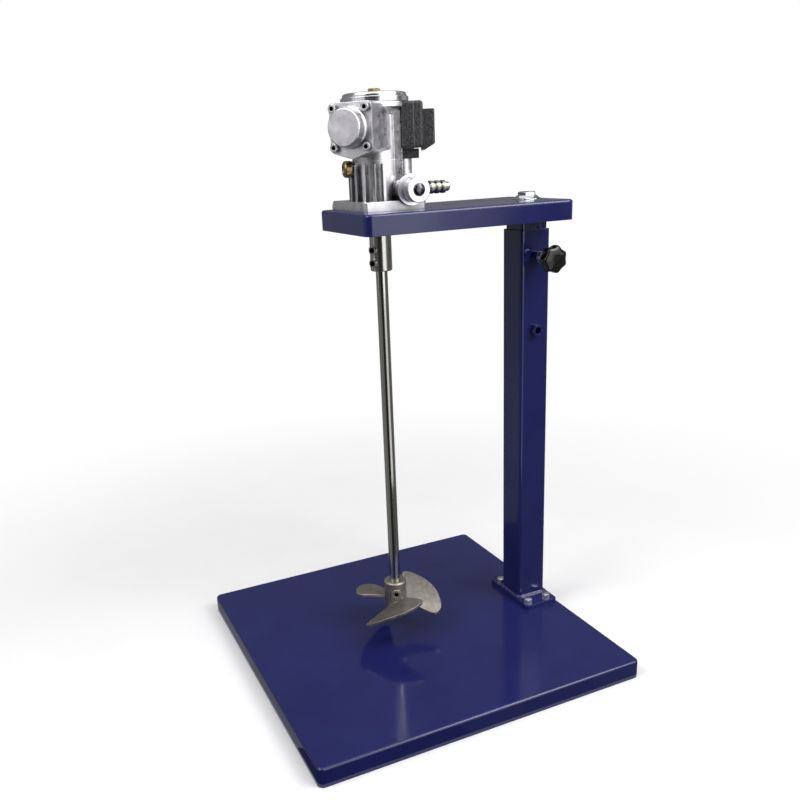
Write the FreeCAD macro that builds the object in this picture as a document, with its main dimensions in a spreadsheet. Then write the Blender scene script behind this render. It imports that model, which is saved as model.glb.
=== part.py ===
import FreeCAD, Part
import math
import os
import Sketcher
from FreeCAD import Placement, Rotation, Vector

# Bench air agitator: a three-cylinder air motor on a telescopic sheet-steel stand turns a
# stirrer shaft with a three-blade impeller. Millimetres, +Z up, origin at the middle of the
# base tray where it rests on the bench. +X runs along the arm towards the post.

os.makedirs("parts", exist_ok=True)
doc = FreeCAD.newDocument("air_agitator")
sizes = doc.addObject("Spreadsheet::Sheet", "sizes")

DRIVING_SIZES = {
    # Base tray and the foot of the post
    "base_length": 400, "base_width": 400, "base_height": 22, "base_sheet": 2,
    "base_corner": 7, "base_bend": 3,
    "foot_length": 47, "foot_width": 88, "foot_thick": 6, "foot_corner": 4, "weld_leg": 3, "weld_flat": 0.5,
    "foot_bolt_x": 13, "foot_bolt_y": 33, "foot_bolt_r": 3, "foot_hex": 10, "foot_hex_high": 4,
    "bolt_end": 1,
    # Telescopic post
    "post_inset": 27, "post_side": 40, "post_wall": 2, "post_corner": 4, "post_length": 474,
    "mast_side": 35, "mast_wall": 2, "mast_corner": 3, "mast_length": 290, "plug_high": 14,
    # Clearance of fixed fits, and of screws in their holes
    "fit_gap": 0.05,
    # Clamp nuts, stud and star knob
    "knob_drop": 31, "spare_drop": 117.5, "nut_flats": 13, "nut_thick": 7,
    "stud_r": 4, "stud_gap": 0.3, "knob_stand": 16, "ferrule_r": 7, "ferrule_out": 5,
    "ferrule_in": 2, "stud_end": 12, "knob_foot_r": 8, "knob_neck_r": 13, "knob_neck": 10,
    "knob_r": 16, "knob_head": 15, "knob_round": 2.5, "knob_crown": 1, "knob_lobes": 7,
    "scallop_r": 5, "scallop_ring": 17.5,
    # Arm tray and the bolt that holds it on the post
    "arm_top": 536, "arm_length": 254, "arm_width": 130, "arm_height": 22, "arm_sheet": 2,
    "arm_corner": 8, "arm_bend": 3, "arm_past_post": 20.5, "shaft_window_r": 20,
    "cone_r": 17, "cone_top_r": 12.5, "cone_rim": 0.8, "cone_high": 4,
    "arm_bolt_r": 6, "arm_bolt_hex": 22, "arm_bolt_head": 7, "arm_bolt_length": 18,
    # Lower motor housing
    "motor_x": -16.5, "flange_length": 71.5, "flange_width": 93, "flange_thick": 10,
    "flange_ahead": 2.2, "flange_back": 7.5, "flange_bevel": 8,
    "flange_chamfer": 3, "motor_bolt_x": 27, "motor_bolt_y": 31, "motor_bolt_r": 3,
    "motor_hex": 10, "motor_hex_high": 4, "motor_bolt_in": 8.5,
    "neck_r": 26, "neck_high": 51, "rib_r": 31, "rib_thick": 3, "rib_drop": 4,
    "rib_count": 9, "rib_first": 94.7, "rib_step": 20.5,
    "seal_r": 13, "seal_thick": 6, "seal_gap": 0.5, "bearing_r": 16, "bearing_thick": 9,
    "bearing_up": 13, "journal_r": 7.5, "run_clear": 0.03, "shaft_room": 1.5,
    "spacer_wall": 4, "column_half": 19, "column_round_r": 9, "column_round_at": 28,
    # Crankcase and its cylinder blocks
    "case_high": 56, "case_floor": 5, "chamber_r": 21.5, "case_rim_r": 35, "case_rim": 5,
    "case_flare": 7, "cylinder_drop": 24, "head_angle": 217.7, "block_half": 23,
    "block_out": 49.5, "block_drop": 46, "block_tip_drop": 53, "block_round": 3,
    "liner_r": 16, "bore_r": 14, "liner_in": 22.5, "liner_out": 44,
    # Cylinder heads
    "gasket": 0.5, "cover_thick": 3, "cover_lip": 1, "cover_round": 4, "dome_r": 20,
    "dome_top_r": 17.3, "dome_high": 15, "dome_step": 4, "dome_step_in": 1.2,
    "dome_chamfer": 0.8, "spigot_gap": 0.5, "screw_pitch": 37, "screw_r": 2.5,
    "screw_head_r": 4.3, "screw_head": 4.5, "screw_length": 12, "socket_flats": 4,
    "socket_deep": 2.5, "screw_end": 0.5,
    # Crank, pistons and rotary valve
    "output_r": 7, "output_drop": 48, "web_r": 20, "web_thick": 5, "web_gap": 2,
    "crank_throw": 7, "pin_r": 5, "pin_high": 39, "drive_r": 3, "drive_high": 2.5,
    "roller_r": 8, "roller_clear": 0.04, "roller_high": 28, "run_gap": 0.3,
    "piston_gap": 0.08, "piston_crown": 43, "piston_length": 17, "piston_wall": 2.5,
    "piston_top": 4, "gudgeon_r": 3, "gudgeon_at": 33, "gudgeon_half": 12.5,
    "rod_thick": 5.6, "rod_pitch": 6.2, "rod_half": 3.5, "rod_eye_r": 5.5,
    "shoe_half": 5.5, "shoe_thick": 3, "valve_r": 19.5, "valve_thick": 4.4, "valve_port_r": 3,
    "port_plate_r": 24, "port_plate_thick": 3, "port_r": 2.5, "port_ring": 13.5,
    # Top cap and plugs
    "cap_r": 35.5, "cap_edge": 0.6, "cap_step_r": 33.5, "cap_step": 5.5, "cap_high": 9.8,
    "cap_round": 2.5, "cap_wall": 3.5, "oil_hex": 12, "oil_hex_high": 4.5, "oil_shank_r": 4,
    "sight_angle": 172, "sight_drop": 8, "sight_r": 8.5, "sight_in": 29.5, "sight_out": 37,
    "sight_boss_r": 8, "sight_edge": 1.5, "sight_rim": 3, "sight_dish": 1.5, "sight_shank_r": 5,
    "sight_shank": 6,
    # Exhaust block and silencer
    "exhaust_in": 26, "exhaust_thick": 12.5, "exhaust_half": 22, "exhaust_round": 3,
    "lug_high": 10, "lug_half": 12, "lug_out": 44, "lug_round": 5,
    "grille_thick": 10, "grille_gap": 0.3, "grille_round": 3.5, "vent_r": 2, "vent_drop": 43,
    "hood_thick": 12.5, "hood_top_drop": 8, "hood_out_drop": 42, "hood_in_drop": 49,
    "hood_half": 14, "hood_wall": 2, "hood_round": 2, "foam_high": 20, "foam_gap": 0.3,
    # Air inlet and throttle valve
    "throttle_x": 18.5, "throttle_up": 20.5, "boss_r": 13, "boss_out": 41,
    "spindle_r": 7, "spindle_clear": 0.05, "spindle_in": 14, "spindle_end_gap": 0.3,
    "needle_r": 4, "needle_tip_r": 2, "needle_cone": 4, "needle_long": 14, "neck_spindle_r": 5,
    "bonnet_r": 16, "bonnet_edge": 1, "bonnet_thick": 3, "bonnet_neck_r": 10.5,
    "bonnet_neck": 2.7, "grip_r": 13.9, "grip_long": 13, "grip_round": 1, "grip_wall": 4,
    "button_r": 6.2, "button_high": 3, "button_seat": 1.5, "passage_r": 2.5, "passage_ring": 20.9,
    "passage_angle": 319.8,
    "inlet_r": 9, "inlet_y": 20, "inlet_out": 35, "inlet_bore_r": 5, "inlet_shank": 7,
    "nipple_hex": 14, "nipple_hex_long": 7, "nipple_r": 5, "nipple_rib_r": 6.8,
    "nipple_ribs": 4, "nipple_pitch": 7.2, "nipple_tip": 4, "nipple_tip_in": 1.2,
    "nipple_hole_r": 3,
    # Coupling, stirrer shaft and impeller
    "coupling_r": 12, "coupling_length": 45, "coupling_drop": 20, "coupling_edge": 1,
    "shaft_gap": 2, "grub_r": 3, "grub_reach": 6, "grub_angle": 200, "grub_proud": 1,
    "grub_boss_r": 5, "grub_boss": 1.5, "stirrer_r": 6.5, "stirrer_length": 429,
    "hub_r": 13.7, "hub_high": 34, "hub_edge": 1.5, "hub_boss_r": 6, "hub_boss": 1.2,
    "blades": 3, "blade_first": 3, "blade_thick": 3.2, "camber_r": 210, "camber_half": 15,
    "root_up": 6, "root_lean": 31, "far_up": 11.5, "far_lean": 15, "blade_far": 60,
    "rim_r": 55.9, "rim_shift": 8.3, "rim_turn": 246, "low_root": -34, "high_root": 44,
    "edge_root_r": 11, "low_edge": -47, "high_edge": 49, "edge_far": 72, "low_round": 10,
    "high_round": 6, "hub_screw_r": 3, "hub_screw_up": 20, "hub_screw_angle": 249,
    "hub_screw_sunk": 1.5,
}

for row, (name, value) in enumerate(DRIVING_SIZES.items(), start=1):
    sizes.set("A%d" % row, name)
    sizes.set("B%d" % row, str(value))
    sizes.setAlias("B%d" % row, name)
doc.recompute()

# Heights and places that several pieces share, as formulas of the driving sizes
FOLLOWING = {
    "post_x": "(base_length / 2 - post_inset)",
    "bearing_low": "(arm_top + bearing_up)",
    "output_low": "(arm_top - output_drop)",
    "coupling_top": "(arm_top - coupling_drop)",
    "coupling_low": "(arm_top - coupling_drop - coupling_length)",
    "stirrer_low": "(arm_top - output_drop - shaft_gap - stirrer_length)",
}
POST_LOW = "(base_height + foot_thick)"
POST_TOP = "(base_height + foot_thick + post_length)"
KNOB_Z = "(%s - knob_drop)" % POST_TOP
SPARE_Z = "(%s - spare_drop)" % POST_TOP
ARM_UNDER = "(arm_top - arm_sheet)"
ARM_MID = "(post_x + arm_past_post - arm_length / 2)"
FLANGE_TOP = "(arm_top + flange_thick)"
NECK_TOP = "(arm_top + neck_high)"
CASE_TOP = "(arm_top + neck_high + case_high)"
CYLINDER_Z = "(%s - cylinder_drop)" % CASE_TOP
THROTTLE_Z = "(arm_top + throttle_up)"
COVER_IN = "(block_out + gasket)"
COVER_FACE = "(block_out + gasket + cover_thick)"
EXHAUST_FACE = "(exhaust_in + exhaust_thick)"
HOOD_IN = "(exhaust_in + exhaust_thick + grille_thick)"
WEB_LOW = "(%s + case_floor + web_gap)" % NECK_TOP
WEB_TOP = "(%s + case_floor + web_gap + web_thick)" % NECK_TOP
FRONTWARD = Rotation(Vector(1, 0, 0), 90)
SIDEWARD = Rotation(Vector(0, 1, 0), 90)
parts = []


def ref(formula):
    """Point the plain size names in a formula at the cells of the sheet."""
    text = ""
    word = ""
    for letter in str(formula) + " ":
        if letter.isalnum() or letter in "_.":
            word += letter
            continue
        if word in FOLLOWING:
            word = ref(FOLLOWING[word])
        elif word in DRIVING_SIZES:
            word = "sizes." + word
        text += word
        text += letter
        word = ""
    return text.strip()


def bind(thing, **formulas):
    """Bind properties of an object to formulas; two underscores stand for a dot."""
    for prop, formula in formulas.items():
        thing.setExpression(prop.replace("__", "."), ref(formula))
    return thing


def place(thing, x=0, y=0, z=0, turn=None):
    """Turn an object and bind its position."""
    if turn is not None:
        thing.Placement = Placement(Vector(), turn)
    return bind(thing, Placement__Base__x=x, Placement__Base__y=y, Placement__Base__z=z)


def outward(angle):
    """Lay a piece's own Z axis level, pointing out from the motor at an angle."""
    return Rotation(Vector(0, 0, 1), angle).multiply(SIDEWARD)


def polar(radius, angle):
    """Formulas of x and y for a radius and an angle in degrees."""
    return "(%s) * cos(%s)" % (radius, angle), "(%s) * sin(%s)" % (radius, angle)


def node(thing, label):
    """Name a finished piece; each one is exported under its label."""
    thing.Label = label
    parts.append(thing)
    return thing


def new_sketch(body, role="XY_Plane", lift=0):
    """A sketch on one of the body's own planes, lifted along the plane's normal."""
    sketch = body.newObject("Sketcher::SketchObject", body.Name + "_sketch")
    plane = [item for item in body.Origin.OriginFeatures if item.Role == role][0]
    sketch.AttachmentSupport = (plane, "")
    sketch.MapMode = "FlatFace"
    return bind(sketch, AttachmentOffset__Base__z=lift)


def fix_point(sketch, element, end, x, y):
    """Hold one point of a sketch element at formulas of x and y, or at one of the two."""
    now = sketch.getPoint(element, end)
    for kind, formula, value in (("DistanceX", x, now.x), ("DistanceY", y, now.y)):
        if formula is None:
            continue
        row = sketch.addConstraint(Sketcher.Constraint(kind, -1, 1, element, end, value))
        name = "at_%d" % row
        sketch.renameConstraint(row, name)
        sketch.setExpression("Constraints." + name, ref(formula))


def outline(sketch, points):
    """A closed outline of straight lines through points given as formulas."""
    first = sketch.GeometryCount
    count = len(points)
    turn = 2 * math.pi / count
    ring = [Vector(math.cos(turn * k), math.sin(turn * k)) for k in range(count)]
    for k in range(count):
        sketch.addGeometry(Part.LineSegment(ring[k], ring[(k + 1) % count]), False)
    for k in range(count):
        follower = first + (k + 1) % count
        sketch.addConstraint(Sketcher.Constraint("Coincident", first + k, 2, follower, 1))
    for k, (x, y) in enumerate(points):
        fix_point(sketch, first + k, 1, x, y)


def circle(sketch, x, y, radius):
    """A circle whose centre and radius are formulas."""
    element = sketch.addGeometry(Part.Circle(Vector(), Vector(0, 0, 1), 1.0), False)
    fix_point(sketch, element, 3, x, y)
    row = sketch.addConstraint(Sketcher.Constraint("Radius", element, 1.0))
    name = "radius_%d" % row
    sketch.renameConstraint(row, name)
    sketch.setExpression("Constraints." + name, ref(radius))


def four(half_x, half_y, mid_x="0", mid_y="0"):
    """The four corners of a rectangle, in order, as formulas."""
    return [("%s + (%d) * (%s)" % (mid_x, side_x, half_x),
             "%s + (%d) * (%s)" % (mid_y, side_y, half_y))
            for side_x, side_y in ((-1, -1), (1, -1), (1, 1), (-1, 1))]


def pad(body, sketch, length, both_ways=False):
    """Pad a sketch along its normal, or half to each side of it."""
    feature = body.newObject("PartDesign::Pad", body.Name + "_pad")
    feature.Profile = sketch
    feature.Midplane = both_ways
    bind(feature, Length=length)
    doc.recompute()
    return feature


def pocket(body, sketch, depth, against_normal=True, both_ways=False):
    """Pocket a sketch, and make sure that it cuts something."""
    doc.recompute()
    before = body.Shape.Volume
    feature = body.newObject("PartDesign::Pocket", body.Name + "_pocket")
    feature.Profile = sketch
    feature.Midplane = both_ways
    feature.Reversed = not against_normal
    bind(feature, Length=depth)
    doc.recompute()
    if body.Shape.Volume >= before:
        raise ValueError(feature.Label + " cuts nothing")
    return feature


def plate(name, points, thick, low=0):
    """A flat plate: a closed outline padded upwards."""
    body = doc.addObject("PartDesign::Body", name)
    sketch = new_sketch(body, lift=low)
    outline(sketch, points)
    pad(body, sketch, thick)
    return body


def turned(name, stations):
    """A piece turned about its own Z axis, from radius and height formulas."""
    body = doc.addObject("PartDesign::Body", name)
    sketch = new_sketch(body, "XZ_Plane")
    outline(sketch, stations)
    doc.recompute()
    feature = body.newObject("PartDesign::Revolution", name + "_turned")
    feature.Profile = sketch
    feature.ReferenceAxis = (sketch, ["V_Axis"])
    feature.Angle = 360
    doc.recompute()
    return body


def drill(body, points, radius, depth, lift):
    """Drill round holes downwards from a height, at points given as formulas."""
    sketch = new_sketch(body, lift=lift)
    for x, y in points:
        circle(sketch, x, y, radius)
    return pocket(body, sketch, depth)


def edge_names(feature, test):
    return ["Edge%d" % row for row, edge in enumerate(feature.Shape.Edges, start=1) if test(edge)]


def upright(edge):
    """An edge that runs along Z."""
    box = edge.BoundBox
    return box.XLength < 1e-6 and box.YLength < 1e-6


def upright_beyond(limit):
    """Edges along Z that lie beyond a distance along X."""
    return lambda edge: upright(edge) and edge.BoundBox.XMin > limit


def level_at(height):
    """Edges that lie flat at one height."""
    return lambda edge: abs(edge.BoundBox.ZMin - height) < 1e-6 and edge.BoundBox.ZLength < 1e-6


def finish_edges(body, kind, test, size):
    """Fillet or chamfer the edges of the body's last feature that pass a test."""
    base = body.Tip
    feature = body.newObject("PartDesign::" + kind, body.Name + "_" + kind.lower())
    feature.Base = (base, edge_names(base, test))
    bind(feature, **{"Radius" if kind == "Fillet" else "Size": size})
    doc.recompute()
    return body


def hollow(body, wall, heights):
    """Shell a body to a sheet thickness, open at the faces that lie at some heights."""
    base = body.Tip
    names = []
    for row, face in enumerate(base.Shape.Faces, start=1):
        box = face.BoundBox
        if box.ZLength < 1e-6 and min(abs(box.ZMin - height) for height in heights) < 1e-6:
            names.append("Face%d" % row)
    feature = body.newObject("PartDesign::Thickness", body.Name + "_shell")
    feature.Base = (base, names)
    feature.Reversed = True
    bind(feature, Value=wall)
    doc.recompute()
    return body


def rod(name, radius, length, x=0, y=0, z=0, turn=None):
    """A cylinder along its own Z axis."""
    thing = doc.addObject("Part::Cylinder", name)
    return place(bind(thing, Radius=radius, Height=length), x, y, z, turn)


def hexagon(name, flats, length, x=0, y=0, z=0, turn=None):
    """A hexagonal prism along its own Z axis, given by its width across flats."""
    prism = doc.addObject("Part::Prism", name)
    prism.Polygon = 6
    bind(prism, Circumradius="(%s) / sqrt(3)" % flats, Height=length)
    return place(prism, x, y, z, turn)


def fuse(name, things, refine=True):
    """One solid from several; refining merges the flat and round faces that run on."""
    joined = doc.addObject("Part::MultiFuse", name)
    joined.Shapes = things
    joined.Refine = refine
    return joined


def cut(name, base, tools):
    """A base solid less one or more tools."""
    result = doc.addObject("Part::Cut", name)
    result.Base = base
    result.Tool = tools[0] if len(tools) == 1 else fuse(name + "_tools", tools)
    result.Refine = True
    return result


def group(name, things):
    """Several separate solids that share one node."""
    joined = doc.addObject("Part::Compound", name)
    joined.Links = things
    return joined


def hex_bolt(name, flats, head_high, radius, length, x, y, z, turn=None):
    """A hexagon bolt with its head's underside at z, its shank along its own -Z axis."""
    head = hexagon(name + "_head", flats, head_high)
    shank = rod(name + "_shank", radius, length, z="-(%s)" % length)
    return place(fuse(name, [head, shank]), x, y, z, turn)


def hex_nut(name, flats, high, radius, x, y, z, turn=None):
    """A hexagon nut with its lower face at z."""
    blank = hexagon(name + "_blank", flats, high)
    return place(cut(name, blank, [rod(name + "_hole", radius, high)]), x, y, z, turn)


def tray(name, corners, high, low, sheet, corner, bend):
    """A folded sheet tray, open underneath, with rounded corners and a bent top edge."""
    body = plate(name, corners, high, low)
    finish_edges(body, "Fillet", upright, corner)
    top = body.Shape.BoundBox.ZMax
    floor = body.Shape.BoundBox.ZMin
    finish_edges(body, "Fillet", level_at(top), bend)
    return hollow(body, sheet, [floor])


def square_tube(name, side, wall, corner, length):
    """A square tube with rounded corners, standing on its own origin."""
    body = plate(name, four("%s / 2" % side, "%s / 2" % side), length)
    finish_edges(body, "Fillet", upright, corner)
    box = body.Shape.BoundBox
    return hollow(body, wall, [box.ZMin, box.ZMax])


# Base tray: a folded steel sheet that stands on its rim
base = tray("base", four("base_length / 2", "base_width / 2"), "base_height", "0",
            "base_sheet", "base_corner", "base_bend")
FOOT_BOLTS = four("foot_bolt_x", "foot_bolt_y", "post_x")
drill(base, FOOT_BOLTS, "foot_bolt_r + fit_gap", "base_sheet * 2", "base_height")
node(base, "base_tray")

# Foot plate of the post, with a fillet weld round the tube, bolted through the tray
foot = plate("foot", four("foot_length / 2", "foot_width / 2", "post_x"), "foot_thick",
             "base_height")
finish_edges(foot, "Fillet", upright, "foot_corner")
weld = plate("weld", four("post_side / 2 + weld_leg", "post_side / 2 + weld_leg", "post_x"),
             "weld_leg", POST_LOW)
finish_edges(weld, "Fillet", upright, "post_corner + weld_leg")
finish_edges(weld, "Chamfer", level_at(weld.Shape.BoundBox.ZMax), "weld_leg - weld_flat")
seat = plate("weld_seat", four("post_side / 2 + fit_gap", "post_side / 2 + fit_gap", "post_x"),
             "weld_leg", POST_LOW)
finish_edges(seat, "Fillet", upright, "post_corner")
foot = fuse("foot_plate_blank", [foot, cut("weld_bead", weld, [seat])])
holes = [rod("foot_hole", "foot_bolt_r + fit_gap", "foot_thick + weld_leg", x, y, "base_height")
         for x, y in FOOT_BOLTS]
node(cut("foot_plate_cut", foot, holes), "foot_plate")

SHANK = "foot_thick + base_sheet + foot_hex_high + bolt_end"
NUT_Z = "base_height - base_sheet - foot_hex_high"
bolts = [hex_bolt("foot_bolt", "foot_hex", "foot_hex_high", "foot_bolt_r", SHANK, x, y, POST_LOW)
         for x, y in FOOT_BOLTS]
nuts = [hex_nut("foot_nut", "foot_hex", "foot_hex_high", "foot_bolt_r + fit_gap", x, y, NUT_Z)
        for x, y in FOOT_BOLTS]
node(group("foot_bolt_set", bolts), "foot_bolts")
node(group("foot_nut_set", nuts), "foot_nuts")

# Outer tube of the post, with a hole behind each of its two welded nuts
tube = place(square_tube("outer_tube", "post_side", "post_wall", "post_corner", "post_length"),
             "post_x", 0, POST_LOW)
holes = [rod("stud_hole", "stud_r + fit_gap", "post_wall * 2", "post_x",
             "post_wall * 1.5 - post_side / 2", height, FRONTWARD)
         for height in (KNOB_Z, SPARE_Z)]
node(cut("outer_post_cut", tube, holes), "outer_post")
for label, height in (("clamp_nut", KNOB_Z), ("spare_nut", SPARE_Z)):
    nut = hex_nut(label + "_solid", "nut_flats", "nut_thick", "stud_r + fit_gap", "post_x",
                  "-post_side / 2", height, FRONTWARD)
    node(nut, label)

# Inner tube that carries the arm, with a tapped plug in its top
mast = square_tube("mast", "mast_side", "mast_wall", "mast_corner", "mast_length")
node(place(mast, "post_x", 0, ARM_UNDER + " - mast_length"), "inner_post")
PLUG_HALF = "mast_side / 2 - mast_wall - fit_gap"
plug = plate("plug", four(PLUG_HALF, PLUG_HALF), "plug_high")
finish_edges(plug, "Fillet", upright, "mast_corner - mast_wall")
drill(plug, [("0", "0")], "arm_bolt_r + fit_gap", "plug_high", "plug_high")
node(place(plug, "post_x", 0, ARM_UNDER + " - plug_high"), "mast_plug")

# Clamp stud with its ferrule, and the seven-lobed star knob moulded on it
STUD_BACK = "(knob_stand + (post_side - mast_side) / 2 - stud_gap)"
stud = turned("stud", [
    ("0", "-" + STUD_BACK), ("stud_r", "-" + STUD_BACK), ("stud_r", "-ferrule_out"),
    ("ferrule_r", "-ferrule_out"), ("ferrule_r", "ferrule_in"), ("stud_r", "ferrule_in"),
    ("stud_r", "stud_end"), ("0", "stud_end")])
KNOB_END = "(knob_neck + knob_head)"
knob = turned("knob", [
    ("stud_r + fit_gap", "ferrule_in + fit_gap"), ("ferrule_r + fit_gap", "ferrule_in + fit_gap"),
    ("ferrule_r + fit_gap", "0"), ("knob_foot_r", "0"), ("knob_neck_r", "knob_neck"),
    ("knob_r", "knob_neck + knob_round"), ("knob_r", KNOB_END + " - knob_round"),
    ("knob_r - knob_round", KNOB_END), ("knob_foot_r", KNOB_END + " + knob_crown"),
    ("0", KNOB_END + " + knob_crown"), ("0", "stud_end + fit_gap"),
    ("stud_r + fit_gap", "stud_end + fit_gap")])
sketch = new_sketch(knob, lift=KNOB_END + " + knob_crown")
circle(sketch, "scallop_ring", "0", "scallop_r")
scallop = pocket(knob, sketch, KNOB_END + " + knob_crown")
pattern = knob.newObject("PartDesign::PolarPattern", "knob_scallops")
pattern.Originals = [scallop]
pattern.Axis = ([item for item in knob.Origin.OriginFeatures if item.Role == "Z_Axis"][0], [""])
pattern.Angle = 360
bind(pattern, Occurrences="knob_lobes")
knob.Tip = pattern
for thing, label in ((stud, "knob_stud"), (knob, "star_knob")):
    node(place(thing, "post_x", "-post_side / 2 - knob_stand", KNOB_Z, FRONTWARD), label)

# Arm tray: folded sheet like the base, turned down over the top of the mast
arm = tray("arm", four("arm_length / 2", "arm_width / 2", ARM_MID), "arm_height",
           "arm_top - arm_height", "arm_sheet", "arm_corner", "arm_bend")
MOTOR_BOLTS = four("motor_bolt_x", "motor_bolt_y", "motor_x + flange_ahead")
drill(arm, [("motor_x", "0")], "shaft_window_r", "arm_sheet * 2", "arm_top")
drill(arm, [("post_x", "0")], "arm_bolt_r + fit_gap", "arm_sheet * 2", "arm_top")
drill(arm, MOTOR_BOLTS, "motor_bolt_r + fit_gap", "arm_sheet * 2", "arm_top")
node(arm, "arm_tray")
washer = turned("washer", [
    ("arm_bolt_r + fit_gap", "0"), ("cone_r", "0"), ("cone_r", "cone_rim"),
    ("cone_top_r", "cone_high"), ("arm_bolt_r + fit_gap", "cone_high")])
node(place(washer, "post_x", 0, "arm_top"), "cone_washer")
node(hex_bolt("arm_bolt_solid", "arm_bolt_hex", "arm_bolt_head", "arm_bolt_r", "arm_bolt_length",
              "post_x", 0, "arm_top + cone_high"), "arm_bolt")


def at_motor(thing, label, z=0):
    """Stand a finished piece on the motor's axis."""
    return node(place(thing, "motor_x", 0, z), label)


def radial(thing, angle):
    """Point a piece out from the motor's axis at cylinder height."""
    return place(thing, "motor_x", 0, CYLINDER_Z, outward(angle))


# Lower motor housing: a casting with a flange bevelled at the back, a ribbed neck round the two bearings,
# a flat-sided column under the exhaust, and the bosses of the throttle and the air inlet
flange = plate("flange", four("flange_length / 2", "flange_width / 2", "flange_ahead",
                              "flange_back"), "flange_thick", "arm_top")
finish_edges(flange, "Chamfer", upright, "flange_chamfer")
back = flange.Shape.BoundBox


def top_back(edge):
    """The flange's upper edge on the side away from the throttle."""
    return level_at(back.ZMax)(edge) and edge.BoundBox.YMin > back.YMax - sizes.fit_gap


finish_edges(flange, "Chamfer", top_back, "flange_bevel")
EXHAUST_ANGLE = sizes.head_angle + 120
exhaust_turn = Rotation(Vector(0, 0, 1), EXHAUST_ANGLE)
blank = [flange, rod("neck", "neck_r", "neck_high", z="arm_top")]
column = plate("column", [("0", "-column_half"), ("exhaust_in", "-column_half"),
                          ("exhaust_in", "column_half"), ("0", "column_half")], "neck_high")
blank.append(place(column, 0, 0, "arm_top", exhaust_turn))
x, y = polar("column_round_at", "head_angle + 120")
blank.append(rod("column_round", "column_round_r", "neck_high", x, y, "arm_top"))
for k in range(int(sizes.rib_count)):
    rib = plate("rib", [("0", "-rib_thick / 2"), ("rib_r", "-rib_thick / 2"),
                        ("rib_r", "rib_thick / 2"), ("0", "rib_thick / 2")],
                "neck_high - rib_drop")
    turn = Rotation(Vector(0, 0, 1), sizes.rib_first + k * sizes.rib_step)
    blank.append(place(rib, 0, 0, "arm_top", turn))
blank.append(rod("throttle_boss", "boss_r", "boss_out", "throttle_x", 0, THROTTLE_Z, FRONTWARD))
blank.append(rod("inlet_boss", "inlet_r", "inlet_out - throttle_x", "throttle_x", "-inlet_y",
                 THROTTLE_Z, SIDEWARD))
SIGHT_Z = NECK_TOP + " - sight_drop"
SIGHT_TURN = outward(sizes.sight_angle)
x, y = polar("bearing_r", "sight_angle")
blank.append(rod("sight_boss", "sight_boss_r", "sight_in - bearing_r", x, y, SIGHT_Z, SIGHT_TURN))
x, y = polar("passage_ring", "passage_angle")
tools = [
    rod("seal_bore", "seal_r", "seal_thick + seal_gap", z="arm_top"),
    rod("shaft_bore", "journal_r + shaft_room", "neck_high", z="arm_top"),
    rod("bearing_bore", "bearing_r", NECK_TOP + " - bearing_low", z="bearing_low"),
    rod("spindle_bore", "spindle_r + spindle_clear", "boss_out - spindle_in", "throttle_x",
        "-spindle_in", THROTTLE_Z, FRONTWARD),
    rod("inlet_bore", "inlet_bore_r", "inlet_out - throttle_x", "throttle_x", "-inlet_y",
        THROTTLE_Z, SIDEWARD),
    rod("air_passage", "passage_r", "neck_high - throttle_up", x, y, THROTTLE_Z),
    rod("sight_seat", "sight_r + fit_gap", "sight_out - sight_in",
        *polar("sight_in", "sight_angle"), SIGHT_Z, SIGHT_TURN),
    rod("sight_hole", "sight_shank_r + fit_gap", "sight_shank + bolt_end",
        *polar("sight_in - sight_shank - bolt_end", "sight_angle"), SIGHT_Z, SIGHT_TURN),
]
for x, y in four("motor_bolt_x", "motor_bolt_y", "flange_ahead"):
    tools.append(rod("flange_hole", "motor_bolt_r + fit_gap", "motor_bolt_in + bolt_end", x, y,
                     "arm_top"))
at_motor(cut("housing_cut", fuse("housing_blank", blank), tools), "lower_housing")
bolts = [hex_bolt("motor_bolt", "motor_hex", "motor_hex_high", "motor_bolt_r",
                  "arm_sheet + motor_bolt_in", x, y, ARM_UNDER, Rotation(Vector(1, 0, 0), 180))
         for x, y in MOTOR_BOLTS]
node(group("motor_bolt_set", bolts), "motor_bolts")


def ring(label, inner, outer, high, low):
    """A plain ring on the motor's axis."""
    body = turned(label + "_solid", [(inner, "0"), (outer, "0"), (outer, high), (inner, high)])
    return at_motor(body, label, low)


BEARING_IN = "journal_r + run_clear"
BEARING_OUT = "bearing_r - fit_gap"
UPPER_BEARING = NECK_TOP + " - bearing_thick - fit_gap"
ring("shaft_seal", "output_r + fit_gap", "seal_r - fit_gap", "seal_thick", "arm_top + fit_gap")
ring("lower_bearing", BEARING_IN, BEARING_OUT, "bearing_thick", "bearing_low")
ring("bearing_spacer", "bearing_r - spacer_wall", BEARING_OUT,
     NECK_TOP + " - bearing_low - 2 * bearing_thick - fit_gap", "bearing_low + bearing_thick")
ring("upper_bearing", BEARING_IN, BEARING_OUT, "bearing_thick", UPPER_BEARING)

sight = turned("sight", [
    ("0", "sight_in - sight_shank"), ("sight_shank_r", "sight_in - sight_shank"),
    ("sight_shank_r", "sight_in"), ("sight_r", "sight_in"), ("sight_r", "sight_out - sight_edge"),
    ("sight_r - sight_edge", "sight_out"), ("sight_r - sight_rim", "sight_out"),
    ("sight_r - sight_rim - sight_dish", "sight_out - sight_dish"),
    ("0", "sight_out - sight_dish")])
node(place(sight, "motor_x", 0, SIGHT_Z, SIGHT_TURN), "sight_plug")


def block_outline(lip="0"):
    """A cylinder block seen along its radius: flat top, straight sides, pointed bottom.

    The sketch's x axis points down, and its origin is on the cylinder's axis."""
    top = "-cylinder_drop"
    low = "block_drop - cylinder_drop + " + lip
    tip = "block_tip_drop - cylinder_drop + " + lip
    half = "(block_half + %s)" % lip
    return [(top, "-" + half), (low, "-" + half), (tip, "0"), (low, half), (top, half)]


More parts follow.
